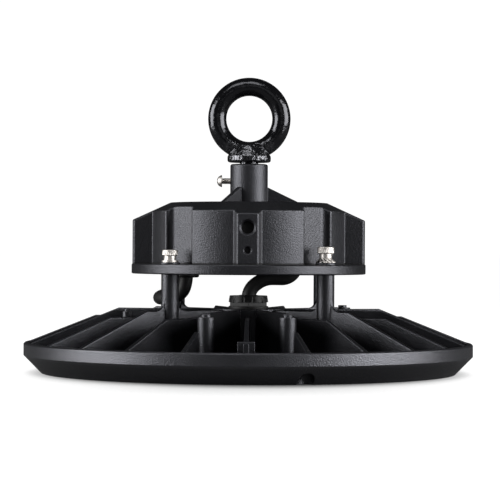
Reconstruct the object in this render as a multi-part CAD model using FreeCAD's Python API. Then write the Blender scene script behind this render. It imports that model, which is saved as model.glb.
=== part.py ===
"""High bay light: finned disc lamp with a driver on four posts and a lifting eye on top.

Millimetres, +Z up, standing on the rim of its heat sink. The lifting axis is the Z axis,
the front faces -Y and the floor is z = 0.
"""
import FreeCAD, Part
import math
import os

V = FreeCAD.Vector
UP = V(0, 0, 1)

# ---- heat sink: one casting of rim, plate, fins, hub, posts and bosses ----
RIM_R = 146.4                 # outside of the rim wall
RIM_TOP_Z = 19.4
RIM_WALL = 4.0                # thickness of the rim wall at its top
RIM_EDGE_ROUND = 0.8
FOOT_R = 135.2                # outer edge of the face it stands on
CHAMFER_TOP_Z = 11.4          # where the slanted underside meets the rim wall
PLATE_UNDER_Z = 9.6           # ceiling of the lamp recess
PLATE_T = 5.4
FIN_COUNT = 24
FIN_TOP_Z = 41.2              # flat part of the high fins, every second one
LOW_FIN_TOP_Z = 37.0          # flat part of the fins between them
FIN_BEND_R = 89.5             # where the high fins start to slope down
FIN_SLOPE = math.radians(21.62)
FIN_END_R = 145.0             # inside the rim wall
FIN_CREST_T = 2.0
FIN_ROOT_T = 3.4
FIN_ROUND = 0.75
LOW_FIN_R = 34.0              # the low fins start here, the high ones at the hub
HUB_R = 24.0
HUB_TOP_Z = 41.6
POST_D = 11.2
POST_FLARE = 6.0              # fillet where a post leaves its fin
POST_WEB_T = 1.9
BOSSES = (                    # azimuth, radius, diameter, height of the shoulder
    (-105, 96.4, 10.7, 38.7),
    (-75, 96.4, 10.7, 38.7),
    (45, 90.0, 10.7, 40.8),
    (202, 83.5, 6.0, 40.2),
)
BOSS_COLLAR_SHARE = 0.54      # collar and hole as shares of the diameter
BOSS_HOLE_SHARE = 0.3
BOSS_COLLAR_H = 1.6
BOSS_HOLE_DEPTH = 12.0
BOSS_FACING = 0.3             # the fin is faced off this much wider than the boss
FRONT_BOSS_CLEAR_R = 116.5    # the two front fins stop short of their bosses here
NOTCH_AZ = -75.0
NOTCH_R = 137.0
NOTCH_D = 10.8
NOTCH_H = 8.7
PAD_W = 10.4                  # ejector pad inside the front of the fin ring
PAD_T = 6.0
PAD_R = 132.0
PAD_TOP_Z = 25.3

# ---- lamp side, under the plate ----
FOOT_INNER_R = 126.0
SHOULDER_Z = 4.4              # the bezel is screwed up against this
LENS_R = 112.4
LENS_T = 2.0
LENS_CLEARANCE = 0.6
GASKET_T = 1.0
GASKET_W = 6.0
RECESS_R = 106.0              # the lamp board lies inside this
BOARD_CLEARANCE = 1.0
PAD_SHEET_T = 0.4
LED_BOARD_T = 1.6
LED_SIZE = 5.0
LED_T = 0.8
LED_RINGS = ((6, 26.0), (12, 54.0), (18, 83.0))                 # how many, on which radius
DOME_D = 18.0
DOME_H = 3.2
BEZEL_T = 2.2
BEZEL_OPENING_R = 107.0
BEZEL_CLEARANCE = 0.4
BEZEL_SCREWS = 12
BEZEL_SCREW_R = 119.5
BEZEL_SCREW_D = 3.0
BEZEL_SCREW_HEAD_D = 5.6
BEZEL_SCREW_HEAD_H = 1.5
BEZEL_SCREW_ROUND = 0.8
BEZEL_SCREW_L = 8.0

# ---- driver base plate, carried on the posts ----
BASE_R = 76.5
BASE_T = 6.4
BASE_UNDER_Z = 64.3           # also the top of the posts
POST_CIRCLE_R = BASE_R - 7.0
BASE_EDGE_ROUND = 0.8
BASE_RECESS_R = BASE_R - 22.5
BASE_RECESS_DEPTH = 4.0
BOLT_PAD_D = 13.0
BOLT_PAD_H = 1.2
SEAL_T = 0.6                  # flat gasket between base and housing
SEAL_W = 3.0

# ---- driver housing: one casting with its neck and ribs ----
HOUSING_TOP_Z = 110.6
TOP_R = BASE_R - 25.1         # flat round top
CONE_DROP = 10.8              # fall of the conical shoulder ...
CONE_RUN = 23.5               # ... over this much radius
BODY_R = BASE_R - 13.0
POCKET_R = BASE_R - 18.5      # flat back wall of the four screw pockets
POCKET_HALF_W = 11.3
POCKET_ROUND = 4.0
LOBE_R = BASE_R - 0.5
LOBE_HALF_W = 13.0
BLOCK_FACE_Y = BASE_R - 8.5   # front and rear blocks, narrower at the face
BLOCK_FACE_HALF_W = 6.6
BLOCK_ROOT_HALF_W = 10.9
PLAN_ROUND = 1.6              # on outward corners of the outline
INNER_ROUND = 0.7             # on inward corners of the outline
PLAN_SLAB_T = 1.0             # thickness of the slabs that the outline is drawn with
EDGE_ROUND = 1.2
CAVITY_R = BASE_R - 22.0
HOUSING_ROOF = 3.6
CAVITY_CONE_DROP = 3.0
PORT_Z = 94.1                 # plugged port in the front block
PORT_D = 7.9
PORT_RIM_D = 10.4
PORT_DEPTH = 9.0
PLUG_RECESS = 5.4
TRIM_Z = 79.7                 # small adjuster hole under the port
TRIM_D = 4.0
TRIM_RIM_D = 5.4
TRIM_DEPTH = 6.0
NECK_D = 24.6
NECK_H = 25.4
NECK_ROUND = 1.3
NECK_RIB_AZ = (0, 120, 240)
NECK_RIB_T = 3.0
NECK_RIB_R = 33.7
NECK_RIB_H = 10.3

# ---- lifting eye and its locking screw ----
EYE_OD = 54.0
EYE_WIRE_D = 12.0
EYE_CENTRE_Z = 165.7
COLLAR_GAP = 1.2
COLLAR_D = 28.4
COLLAR_RIM_H = 3.8            # upright part of the collar
COLLAR_H = 11.8
COLLAR_TOP_D = 18.8
COLLAR_ROUND = 1.5
COLLAR_TOP_ROUND = 2.2
SHANK_D = 12.0
SHANK_L = 20.5
SHANK_CLEARANCE = 0.15
LOCK_Z = 124.9
LOCK_D = 4.0
LOCK_L = 11.6
LOCK_HEAD_D = 8.0
LOCK_HEAD_H = 3.4
LOCK_CLEARANCE = 0.1

# ---- screws through the base into the posts ----
BOLT_D = 5.0
BOLT_HEAD_D = 10.0
BOLT_HEAD_H = 3.7
BOLT_HEAD_ROUND = 0.7
TALL_HEAD_D = 10.6            # the screw on the toothed washer has a larger head
TALL_HEAD_H = 4.3
BOLT_ENGAGE = 12.0            # length inside the post
BOLT_CLEARANCE = 0.2
DRIVE_D = 4.4                 # hexagon socket in the head
DRIVE_DEPTH = 1.8
SPRING_D = 8.0
SPRING_H = 3.0
SPRING_SPLIT = 1.0
FLAT_D = 10.6
FLAT_H = 1.3
TOOTH_D = 12.4
TOOTH_H = 3.0
TOOTH_COUNT = 12
TOOTH_AZ = -45                # only this screw has the toothed washer

# ---- screws up through the base into the housing ----
HOUSING_SCREW_R = BASE_R - 14.0
HOUSING_SCREW_D = 4.0
HOUSING_SCREW_HEAD_D = 7.4
HOUSING_SCREW_HEAD_H = 2.6
HOUSING_SCREW_SINK = 3.2
HOUSING_SCREW_L = 8.4         # ends below the adjuster hole

# ---- inside the driver ----
DRIVER_BOARD_Z = 82.9
DRIVER_BOARD_T = 1.6
DRIVER_BOARD_CLEARANCE = 1.5
STANDOFF_D = 6.0
STANDOFF_COUNT = 4
STANDOFF_R = CAVITY_R - 6.5
CORE_X = -28.0                # left and front corner of the transformer core
CORE_Y = 2.0
CORE_L = 32.0
CORE_W = 26.0
CORE_H = 18.0
COIL_FORM_L = 20.0
COIL_FORM_W = 32.0
COIL_FORM_H = 15.0
CAPACITOR_D = 16.0
CAPACITOR_H = 20.0
CAPACITOR_X = CAVITY_R - 30.5
CAPACITOR_PLACES = ((CAPACITOR_X, 22), (CAPACITOR_X, 2), (CAPACITOR_X, -18))
CHOKE_OD = 22.0
CHOKE_ID = 9.0
CHOKE_H = 10.0
CHOKE_X = -8.0
CHOKE_Y = 24.5 - CAVITY_R
TERMINAL_L = 20.0
TERMINAL_W = 10.0
TERMINAL_H = 11.0
TERMINAL_X = 16.5 - CAVITY_R
TERMINAL_Y = 0.0

# ---- leads, glands ----
LEAD_D = 9.2
LEAD_CLEARANCE = 0.3
HUB_SEAL_D = 26.0
HUB_SEAL_T = 1.6
HUB_GLAND_AF = 24.0           # across the flats of the hexagon
HUB_GLAND_HEX_H = 2.6
HUB_GLAND_SPIGOT_D = 20.0
HUB_GLAND_SPIGOT_L = 10.0
HUB_NUT_D = 26.0
HUB_NUT_TOP_D = 24.6
HUB_NUT_H = 4.3
HUB_NUT_FLUTES = 12
HUB_NUT_FLUTE_D = 2.4
DC_EXIT_X = 31.0
GROMMET_LIP_D = 15.0
GROMMET_LIP_T = 1.2
GROMMET_HOLE_D = 13.0
GROMMET_CLEARANCE = 0.8       # the lead is still bending where it passes the bush
MAINS_X = -41.0
MAINS_Y = 4.0
MAINS_SPIGOT_D = 14.0
MAINS_SPIGOT_L = 6.0
MAINS_HEX_AF = 16.0
MAINS_HEX_H = 2.4
MAINS_NUT_D = 17.0
MAINS_NUT_H = 4.2
MAINS_NUT_ROUND = 1.2

# ---- mains lead: route of the loose stretch, then a flat coil behind the lamp ----
COIL_X = 0.0
COIL_Y = 227.0
COIL_INNER_R = 50.4           # centre line of the inner turns
COIL_SLACK = 0.15             # the turns lie this loosely in the coil
COIL_SOFT = 3.2               # bevel that follows the round lead at the coil's corners
FLOOR_GAP = 0.05
STUB_L = 36.0                 # straight piece where the lead joins or leaves the coil
CORE_D = 2.6
CORE_LENGTH = 38.0
CORE_SPREAD = 3.0
CORE_GAP = 0.3                # the cores start just off the end of the sheath

# ---- worked out from the sizes above ----
FLOOR_Z = PLATE_UNDER_Z + PLATE_T
LED_BOARD_TOP_Z = PLATE_UNDER_Z - PAD_SHEET_T
LENS_UNDER_Z = SHOULDER_Z
LENS_TOP_Z = LENS_UNDER_Z + LENS_T
LEDGE_Z = LENS_TOP_Z + GASKET_T
LENS_SEAT_R = LENS_R + LENS_CLEARANCE
BASE_TOP_Z = BASE_UNDER_Z + BASE_T
HOUSING_Z = BASE_TOP_Z + SEAL_T
NECK_TOP_Z = HOUSING_TOP_Z + NECK_H
RECESS_ROOF_Z = BASE_UNDER_Z + BASE_RECESS_DEPTH
HUB_BORE_R = HUB_GLAND_SPIGOT_D / 2 + LEAD_CLEARANCE
HUB_PASSAGE_R = LEAD_D / 2 + LEAD_CLEARANCE
HUB_PASSAGE_Z = HUB_TOP_Z - HUB_GLAND_SPIGOT_L - 1.0
HUB_HEX_Z = HUB_TOP_Z + HUB_SEAL_T
HUB_NUT_Z = HUB_HEX_Z + HUB_GLAND_HEX_H
POST_AZ = (45, 135, 225, 315)
COIL_OUTER_R = COIL_INNER_R + LEAD_D
COIL_LOW_Z = LEAD_D / 2 + FLOOR_GAP
COIL_HIGH_Z = COIL_LOW_Z + LEAD_D
COIL_LEFT_X = COIL_X - COIL_OUTER_R
COIL_RIGHT_X = COIL_X + COIL_OUTER_R

DC_ROUTE = (
    V(0, 0, 10.0),
    V(0, 0, 54.0),
    V(10.2, 0, 61.6),
    V(DC_EXIT_X, 0, 61.4),
    V(DC_EXIT_X, 0, 82.4),
)
MAINS_ROUTE = (
    V(MAINS_X, MAINS_Y, 66.0),
    V(MAINS_X, MAINS_Y, 54.6),
    V(-48.4, 10.4, 48.4),
    V(-59.4, 26.0, 47.4),
    V(-60.6, 53.0, 47.8),
    V(-50.5, 85.0, 50.8),
    V(-51.0, 126.0, 34.0),
    V(COIL_LEFT_X, 159.0, COIL_HIGH_Z),
    V(COIL_LEFT_X, COIL_Y - STUB_L, COIL_HIGH_Z),
)


# ---- small helpers ----
def polar(radius, azimuth, z=0.0):
    """Point at a radius and an azimuth in degrees, from +X towards +Y."""
    a = math.radians(azimuth)
    return V(radius * math.cos(a), radius * math.sin(a), z)


def rod(diameter, z_low, z_high, centre=V(0, 0, 0)):
    """Upright cylinder between two heights."""
    return Part.makeCylinder(diameter / 2, z_high - z_low, V(centre.x, centre.y, z_low))


def tube(outer_r, inner_r, z_low, z_high):
    """Upright ring about the lifting axis."""
    return rod(2 * outer_r, z_low, z_high).cut(rod(2 * inner_r, z_low - 1, z_high + 1))


def block(x0, x1, y0, y1, z0, z1):
    """Box between two corners."""
    return Part.makeBox(x1 - x0, y1 - y0, z1 - z0, V(x0, y0, z0))


def turned(points):
    """Solid of revolution of a closed outline given as (radius, height)."""
    outline = [V(r, 0, z) for r, z in points]
    wire = Part.makePolygon(outline + outline[:1])
    return Part.Face(wire).revolve(V(0, 0, 0), UP, 360)


def spun(shape, azimuth):
    """Copy of a shape turned about the lifting axis."""
    copy = shape.copy()
    copy.rotate(V(0, 0, 0), UP, azimuth)
    return copy


def placed(shape, position):
    """Copy of a shape moved to a position."""
    copy = shape.copy()
    copy.translate(position)
    return copy


def fused(shapes):
    """One solid from touching shapes."""
    first = shapes[0]
    return first.multiFuse(shapes[1:]).removeSplitter()


def hexagon(across_flats, z_low, z_high, centre=V(0, 0, 0)):
    """Upright hexagonal prism."""
    radius = across_flats / 2 / math.cos(math.radians(30))
    corners = [centre + polar(radius, 60 * i + 30, z_low) for i in range(6)]
    wire = Part.makePolygon(corners + corners[:1])
    return Part.Face(wire).extrude(V(0, 0, z_high - z_low))


def rounded(solid, chosen, radius):
    """Solid with a radius on the edges that a test picks out."""
    edges = [edge for edge in solid.Edges if chosen(edge)]
    return solid.makeFillet(radius, edges)


def is_circle_at(edge, z, radius):
    """True for a level circular edge at a height, with a radius, about the lifting axis."""
    curve = edge.Curve
    if not isinstance(curve, Part.Circle):
        return False
    return abs(curve.Center.z - z) < 1e-4 and abs(curve.Radius - radius) < 1e-4


def bent_tube(points, diameter, name):
    """Round lead: straight runs joined by tangent arcs, as large as the runs allow."""
    edges = []
    radii = []
    start = points[0]
    for before, corner, after in zip(points, points[1:], points[2:]):
        arrive = corner - before
        leave = after - corner
        shorter = min(arrive.Length, leave.Length)
        half_turn = arrive.getAngle(leave) / 2
        reach = 0.45 * shorter
        radius = reach / math.tan(half_turn)
        radii.append(round(radius, 1))
        arrive.normalize()
        leave.normalize()
        into = corner - arrive * reach
        out = corner + leave * reach
        inward = (leave - arrive).normalize()
        middle = corner + inward * (radius / math.cos(half_turn) - radius)
        edges.append(Part.LineSegment(start, into).toShape())
        edges.append(Part.Arc(into, middle, out).toShape())
        start = out
    edges.append(Part.LineSegment(start, points[-1]).toShape())
    path = Part.Wire(edges)
    heading = points[1] - points[0]
    section = Part.Wire(Part.makeCircle(diameter / 2, points[0], heading))
    solid = path.makePipeShell([section], True, False)
    expected = math.pi * diameter ** 2 / 4 * path.Length
    print(name, "radii", radii, "length", round(path.Length, 1),
          "volume share", round(solid.Volume / expected, 4))
    return solid


# ---- heat sink ----
def heat_sink_body():
    """Rim, plate, hub and lamp recess as one turned shape."""
    rim_inner_r = RIM_R - RIM_WALL
    return turned([
        (FOOT_INNER_R, 0), (FOOT_R, 0), (RIM_R, CHAMFER_TOP_Z),
        (RIM_R, RIM_TOP_Z - RIM_EDGE_ROUND), (RIM_R - RIM_EDGE_ROUND, RIM_TOP_Z),
        (rim_inner_r, RIM_TOP_Z), (rim_inner_r - 1.0, FLOOR_Z),
        (HUB_R, FLOOR_Z), (HUB_R, HUB_TOP_Z), (HUB_BORE_R, HUB_TOP_Z),
        (HUB_BORE_R, HUB_PASSAGE_Z), (HUB_PASSAGE_R, HUB_PASSAGE_Z),
        (HUB_PASSAGE_R, PLATE_UNDER_Z), (RECESS_R, PLATE_UNDER_Z),
        (RECESS_R, LEDGE_Z), (LENS_SEAT_R, LEDGE_Z),
        (LENS_SEAT_R, SHOULDER_Z), (FOOT_INNER_R, SHOULDER_Z),
    ])


def fin(inner_r, top_z):
    """Upright fin along +X: tapered section, flat then sloping crest with rounded edges."""
    root_z = FLOOR_Z - 1.0
    end_z = FIN_TOP_Z - (FIN_END_R - FIN_BEND_R) * math.tan(FIN_SLOPE)
    bend_r = FIN_BEND_R + (FIN_TOP_Z - top_z) / math.tan(FIN_SLOPE)
    side = Part.makePolygon([
        V(inner_r, 0, root_z), V(FIN_END_R, 0, root_z), V(FIN_END_R, 0, end_z),
        V(bend_r, 0, top_z), V(inner_r, 0, top_z), V(inner_r, 0, root_z),
    ])
    slab = placed(Part.Face(side).extrude(V(0, 2 * FIN_ROOT_T, 0)), V(0, -FIN_ROOT_T, 0))
    section = Part.makePolygon([
        V(inner_r, -FIN_ROOT_T / 2, root_z), V(inner_r, FIN_ROOT_T / 2, root_z),
        V(inner_r, FIN_CREST_T / 2, FIN_TOP_Z), V(inner_r, -FIN_CREST_T / 2, FIN_TOP_Z),
        V(inner_r, -FIN_ROOT_T / 2, root_z),
    ])
    wedge = Part.Face(section).extrude(V(FIN_END_R - inner_r, 0, 0))
    plain = slab.common(wedge)

    def on_crest(edge):
        low, high = edge.BoundBox.ZMin, edge.BoundBox.ZMax
        runs_out = edge.BoundBox.XLength > FIN_CREST_T * 2
        return runs_out and low > end_z - 0.1 and high < top_z + 0.1

    crest = rounded(plain, on_crest, FIN_ROUND)
    outside = tube(RIM_R * 2, RIM_R - 0.3, -1, RIM_TOP_Z * 2)
    return crest.cut(outside)


def post(azimuth):
    """Round post for the driver, with a web that flares into its fin."""
    shaft = rod(POST_D, FLOOR_Z - 1.0, BASE_UNDER_Z, V(POST_CIRCLE_R, 0, 0))
    near = POST_CIRCLE_R - POST_D / 2
    far = POST_CIRCLE_R + POST_D / 2
    low = FIN_TOP_Z - FIN_ROUND
    dip = POST_FLARE * (1 - math.sqrt(0.5))
    web = Part.Wire([
        Part.LineSegment(V(near - POST_FLARE, 0, low), V(far + POST_FLARE, 0, low)).toShape(),
        Part.LineSegment(V(far + POST_FLARE, 0, low), V(far + POST_FLARE, 0, FIN_TOP_Z)).toShape(),
        Part.Arc(V(far + POST_FLARE, 0, FIN_TOP_Z), V(far + dip, 0, FIN_TOP_Z + dip),
                 V(far, 0, FIN_TOP_Z + POST_FLARE)).toShape(),
        Part.LineSegment(V(far, 0, FIN_TOP_Z + POST_FLARE),
                         V(near, 0, FIN_TOP_Z + POST_FLARE)).toShape(),
        Part.Arc(V(near, 0, FIN_TOP_Z + POST_FLARE), V(near - dip, 0, FIN_TOP_Z + dip),
                 V(near - POST_FLARE, 0, FIN_TOP_Z)).toShape(),
        Part.LineSegment(V(near - POST_FLARE, 0, FIN_TOP_Z), V(near - POST_FLARE, 0, low)).toShape(),
    ])
    plate = Part.Face(web).extrude(V(0, POST_WEB_T, 0))
    return spun(fused([shaft, placed(plate, V(0, -POST_WEB_T / 2, 0))]), azimuth)


def front_clearance(azimuth, radius):
    """Space cut out of a front fin between its boss and the rim."""
    gap = block(radius, FRONT_BOSS_CLEAR_R, -FIN_ROOT_T, FIN_ROOT_T, FLOOR_Z, FIN_TOP_Z + 1)
    return spun(gap, azimuth)


def with_bosses(casting):
    """The casting with its round lugs: each is faced flat through its fin and has a collar."""
    gaps = [front_clearance(azimuth, radius) for azimuth, radius, size, top in BOSSES if azimuth < 0]
    lugs = []
    facings = []
    collars = []
    for azimuth, radius, size, top in BOSSES:
        centre = polar(radius, azimuth)
        lugs.append(rod(size, FLOOR_Z - 1.0, top + 0.5, centre))
        facings.append(rod(size + 2 * BOSS_FACING, top, FIN_TOP_Z + 1, centre))
        collars.append(rod(size * BOSS_COLLAR_SHARE, top - 1.0, top + BOSS_COLLAR_H, centre))
    open_casting = casting.cut(Part.makeCompound(gaps))
    faced = open_casting.multiFuse(lugs).cut(Part.makeCompound(facings))
    return faced.multiFuse(collars)


def heat_sink():
    """The whole casting: fins, posts and bosses grow out of the turned body."""
    low_fin = fin(LOW_FIN_R, LOW_FIN_TOP_Z)
    high_fin = fin(HUB_R - 1.0, FIN_TOP_Z)
    step = 360 / FIN_COUNT
    fins = [spun(high_fin if i % 2 else low_fin, 90 + i * step) for i in range(FIN_COUNT)]
    posts = [post(azimuth) for azimuth in POST_AZ]
    pad = block(-PAD_W / 2, PAD_W / 2, -PAD_R, -PAD_R + PAD_T, FLOOR_Z - 1.0, PAD_TOP_Z)
    casting = with_bosses(fused([heat_sink_body()] + fins + posts + [pad]))

    cuts = []
    for azimuth, radius, size, top in BOSSES:
        mouth = top + BOSS_COLLAR_H
        hole_d = size * BOSS_HOLE_SHARE
        cuts.append(rod(hole_d, mouth - BOSS_HOLE_DEPTH, mouth + 1, polar(radius, azimuth)))
    for azimuth in POST_AZ:
        hole_d = BOLT_D + 2 * BOLT_CLEARANCE
        bottom = BASE_UNDER_Z - BOLT_ENGAGE - 1.0
        cuts.append(rod(hole_d, bottom, BASE_UNDER_Z + 1, polar(POST_CIRCLE_R, azimuth)))
    for place in bezel_screw_places():
        hole_d = BEZEL_SCREW_D + 2 * BOLT_CLEARANCE
        cuts.append(rod(hole_d, 0, SHOULDER_Z - BEZEL_T + BEZEL_SCREW_L + 0.5, place))
    cuts.append(rod(NOTCH_D, -1, NOTCH_H, polar(NOTCH_R, NOTCH_AZ)))
    return casting.cut(Part.makeCompound(cuts)).removeSplitter()


# ---- lamp side ----
def bezel_screw_places():
    step = 360 / BEZEL_SCREWS
    return [polar(BEZEL_SCREW_R, (i + 0.5) * step) for i in range(BEZEL_SCREWS)]


def led_places():
    """Centres of the lamps, and of the lens domes under them."""
    places = []
    for count, radius in LED_RINGS:
        places += [polar(radius, i * 360 / count) for i in range(count)]
    return places


def thermal_pad():
    return tube(RECESS_R - BOARD_CLEARANCE, HUB_PASSAGE_R, LED_BOARD_TOP_Z, PLATE_UNDER_Z)


def led_board():
    return rod(2 * (RECESS_R - BOARD_CLEARANCE), LED_BOARD_TOP_Z - LED_BOARD_T, LED_BOARD_TOP_Z)


def led_chips():
    """The lamps, one square package under each lens dome."""
    half = LED_SIZE / 2
    top = LED_BOARD_TOP_Z - LED_BOARD_T
    chip = block(-half, half, -half, half, top - LED_T, top)
    return Part.makeCompound([placed(chip, place) for place in led_places()])


def lens_plate():
    """Clear plate with a shallow dome under every lamp."""
    plate = rod(2 * LENS_R, LENS_UNDER_Z, LENS_TOP_Z)
    dome_r = DOME_D / 2
    ball_r = (dome_r ** 2 + DOME_H ** 2) / (2 * DOME_H)
    ball = Part.makeSphere(ball_r, V(0, 0, LENS_UNDER_Z - DOME_H + ball_r))
    slab = rod(DOME_D + 2, LENS_UNDER_Z - DOME_H - 1, LENS_UNDER_Z + 0.5)
    dome = ball.common(slab)
    return fused([plate] + [placed(dome, place) for place in led_places()])


def lens_gasket():
    return tube(LENS_R, LENS_R - GASKET_W, LENS_TOP_Z, LEDGE_Z)


def lens_bezel():
    """Flat ring that holds the lens plate up, with its screw holes."""
    ring = tube(FOOT_INNER_R - BEZEL_CLEARANCE, BEZEL_OPENING_R, SHOULDER_Z - BEZEL_T, SHOULDER_Z)
    hole_d = BEZEL_SCREW_D + 2 * BOLT_CLEARANCE
    holes = [rod(hole_d, 0, SHOULDER_Z + 1, place) for place in bezel_screw_places()]
    return ring.cut(Part.makeCompound(holes))


def bezel_screws():
    """Countersink-free pan screws, heads downwards."""
    seat = SHOULDER_Z - BEZEL_T
    head = rod(BEZEL_SCREW_HEAD_D, seat - BEZEL_SCREW_HEAD_H, seat)
    head = rounded(head, lambda e: is_circle_at(e, seat - BEZEL_SCREW_HEAD_H,
                                                BEZEL_SCREW_HEAD_D / 2), BEZEL_SCREW_ROUND)
    screw = fused([head, rod(BEZEL_SCREW_D, seat, seat + BEZEL_SCREW_L)])
    return Part.makeCompound([placed(screw, place) for place in bezel_screw_places()])


# ---- gland in the hub and the lead from lamp to driver ----
def hub_seal():
    return tube(HUB_SEAL_D / 2, HUB_BORE_R, HUB_TOP_Z, HUB_HEX_Z)


def hub_gland_body():
    """Hexagon with the threaded spigot that goes down into the hub."""
    bore = rod(LEAD_D + 2 * LEAD_CLEARANCE, HUB_TOP_Z - HUB_GLAND_SPIGOT_L - 1, HUB_NUT_Z + 1)
    spigot = rod(HUB_GLAND_SPIGOT_D, HUB_TOP_Z - HUB_GLAND_SPIGOT_L, HUB_HEX_Z)
    return fused([hexagon(HUB_GLAND_AF, HUB_HEX_Z, HUB_NUT_Z), spigot]).cut(bore)


def hub_gland_nut():
    """Fluted cap nut, slightly conical, clamped round the lead."""
    top = HUB_NUT_Z + HUB_NUT_H
    cap = turned([(0, HUB_NUT_Z), (HUB_NUT_D / 2, HUB_NUT_Z), (HUB_NUT_TOP_D / 2, top), (0, top)])
    flutes = [rod(HUB_NUT_FLUTE_D, HUB_NUT_Z - 1, top + 1, polar(HUB_NUT_D / 2 + 0.5, (i + 0.5) * 30))
              for i in range(HUB_NUT_FLUTES)]
    bore = rod(LEAD_D + 2 * LEAD_CLEARANCE, HUB_NUT_Z - 1, top + 1)
    return cap.cut(Part.makeCompound(flutes + [bore]))


def dc_lead():
    return bent_tube(DC_ROUTE, LEAD_D, "dc_lead")


def dc_grommet():
    """Rubber bush in the base plate round the lead from the lamp."""
    centre = V(DC_EXIT_X, 0, 0)
    neck = rod(GROMMET_HOLE_D, RECESS_ROOF_Z, BASE_TOP_Z, centre)
    lip = rod(GROMMET_LIP_D, BASE_TOP_Z, BASE_TOP_Z + GROMMET_LIP_T, centre)
    bore_d = LEAD_D + 2 * GROMMET_CLEARANCE
    bore = rod(bore_d, RECESS_ROOF_Z - 1, BASE_TOP_Z + GROMMET_LIP_T + 1, centre)
    return fused([neck, lip]).cut(bore)


# ---- driver base ----
def driver_base():
    """Round plate with a hollow underside, screw pads and the two lead holes."""
    disc = rod(2 * BASE_R, BASE_UNDER_Z, BASE_TOP_Z)
    disc = rounded(disc, lambda e: is_circle_at(e, BASE_UNDER_Z, BASE_R)
                   or is_circle_at(e, BASE_TOP_Z, BASE_R), BASE_EDGE_ROUND)
    pads = [rod(BOLT_PAD_D, BASE_TOP_Z - 1, BASE_TOP_Z + BOLT_PAD_H, polar(POST_CIRCLE_R, azimuth))
            for azimuth in POST_AZ]
    plate = fused([disc] + pads)
    top = BASE_TOP_Z + BOLT_PAD_H + 1
    cuts = [rod(2 * BASE_RECESS_R, BASE_UNDER_Z - 1, RECESS_ROOF_Z)]
    for azimuth in POST_AZ:
        hole_d = BOLT_D + 2 * BOLT_CLEARANCE
        cuts.append(rod(hole_d, BASE_UNDER_Z - 1, top, polar(POST_CIRCLE_R, azimuth)))
    for place in housing_screw_places():
        hole_d = HOUSING_SCREW_D + 2 * BOLT_CLEARANCE
        sink_d = HOUSING_SCREW_HEAD_D + 4 * BOLT_CLEARANCE
        cuts.append(rod(hole_d, BASE_UNDER_Z - 1, top, place))
        cuts.append(rod(sink_d, BASE_UNDER_Z - 1, BASE_UNDER_Z + HOUSING_SCREW_SINK, place))
    cuts.append(rod(GROMMET_HOLE_D, BASE_UNDER_Z - 1, top, V(DC_EXIT_X, 0, 0)))
    cuts.append(rod(MAINS_SPIGOT_D + 2 * LEAD_CLEARANCE, BASE_UNDER_Z - 1, top,
                    V(MAINS_X, MAINS_Y, 0)))
    return plate.cut(Part.makeCompound(cuts))


def base_gasket():
    """Flat seal that follows the foot of the housing."""
    sheet = placed(housing_plan(), V(0, 0, BASE_TOP_Z)).extrude(V(0, 0, SEAL_T))
    cuts = [rod(HOUSING_SCREW_D + 2 * BOLT_CLEARANCE, BASE_TOP_Z - 1, HOUSING_Z + 1, place)
            for place in housing_screw_places()]
    cuts.append(rod(2 * CAVITY_R, BASE_TOP_Z - 1, HOUSING_Z + 1))
    return sheet.cut(Part.makeCompound(cuts))


# ---- driver housing ----
def housing_screw_places():
    return [polar(HOUSING_SCREW_R, azimuth) for azimuth in (0, 90, 180, 270)]


def slab_box(x0, x1, y0, y1):
    """Thin flat box used to draw an outline."""
    return block(x0, x1, y0, y1, 0, PLAN_SLAB_T)


def slab_disc(radius):
    return rod(2 * radius, 0, PLAN_SLAB_T)


def underside(solid):
    """The flat face on which a slab stands."""
    flat = [face for face in solid.Faces if face.BoundBox.ZMax < 0.1 * PLAN_SLAB_T]
    return max(flat, key=lambda face: face.Area)


def screw_pocket():
    """Outline of one screw pocket along +X, with rounded inner corners."""
    reach = 2 * POCKET_R
    rough = underside(slab_box(POCKET_R, reach, -POCKET_HALF_W, POCKET_HALF_W))
    return rough.makeOffset2D(-POCKET_ROUND).makeOffset2D(POCKET_ROUND).extrude(V(0, 0, PLAN_SLAB_T))


def front_block(end):
    """Outline of the block at the front (-1) or the rear (1)."""
    root_y = end * POCKET_R
    face_y = end * BLOCK_FACE_Y
    corners = [
        V(-BLOCK_ROOT_HALF_W, root_y, 0), V(BLOCK_ROOT_HALF_W, root_y, 0),
        V(BLOCK_FACE_HALF_W, face_y, 0), V(-BLOCK_FACE_HALF_W, face_y, 0),
    ]
    outline = Part.makePolygon(corners + corners[:1])
    return Part.Face(outline).extrude(V(0, 0, PLAN_SLAB_T))


def housing_plan():
    """Outline of the housing from above: round body, lobes, blocks and screw pockets."""
    lobes = slab_box(-LOBE_R, LOBE_R, -LOBE_HALF_W, LOBE_HALF_W).common(slab_disc(LOBE_R))
    blocks = [front_block(end) for end in (-1, 1)]
    cuts = [spun(screw_pocket(), azimuth) for azimuth in POST_AZ]
    slab = fused([slab_disc(BODY_R), lobes] + blocks).cut(Part.makeCompound(cuts)).removeSplitter()
    eased = underside(slab).makeOffset2D(-PLAN_ROUND).makeOffset2D(PLAN_ROUND + INNER_ROUND)
    return eased.makeOffset2D(-INNER_ROUND)


def cone_z(radius):
    """Height of the conical shoulder at a radius."""
    return HOUSING_TOP_Z - (radius - TOP_R) * CONE_DROP / CONE_RUN


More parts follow.
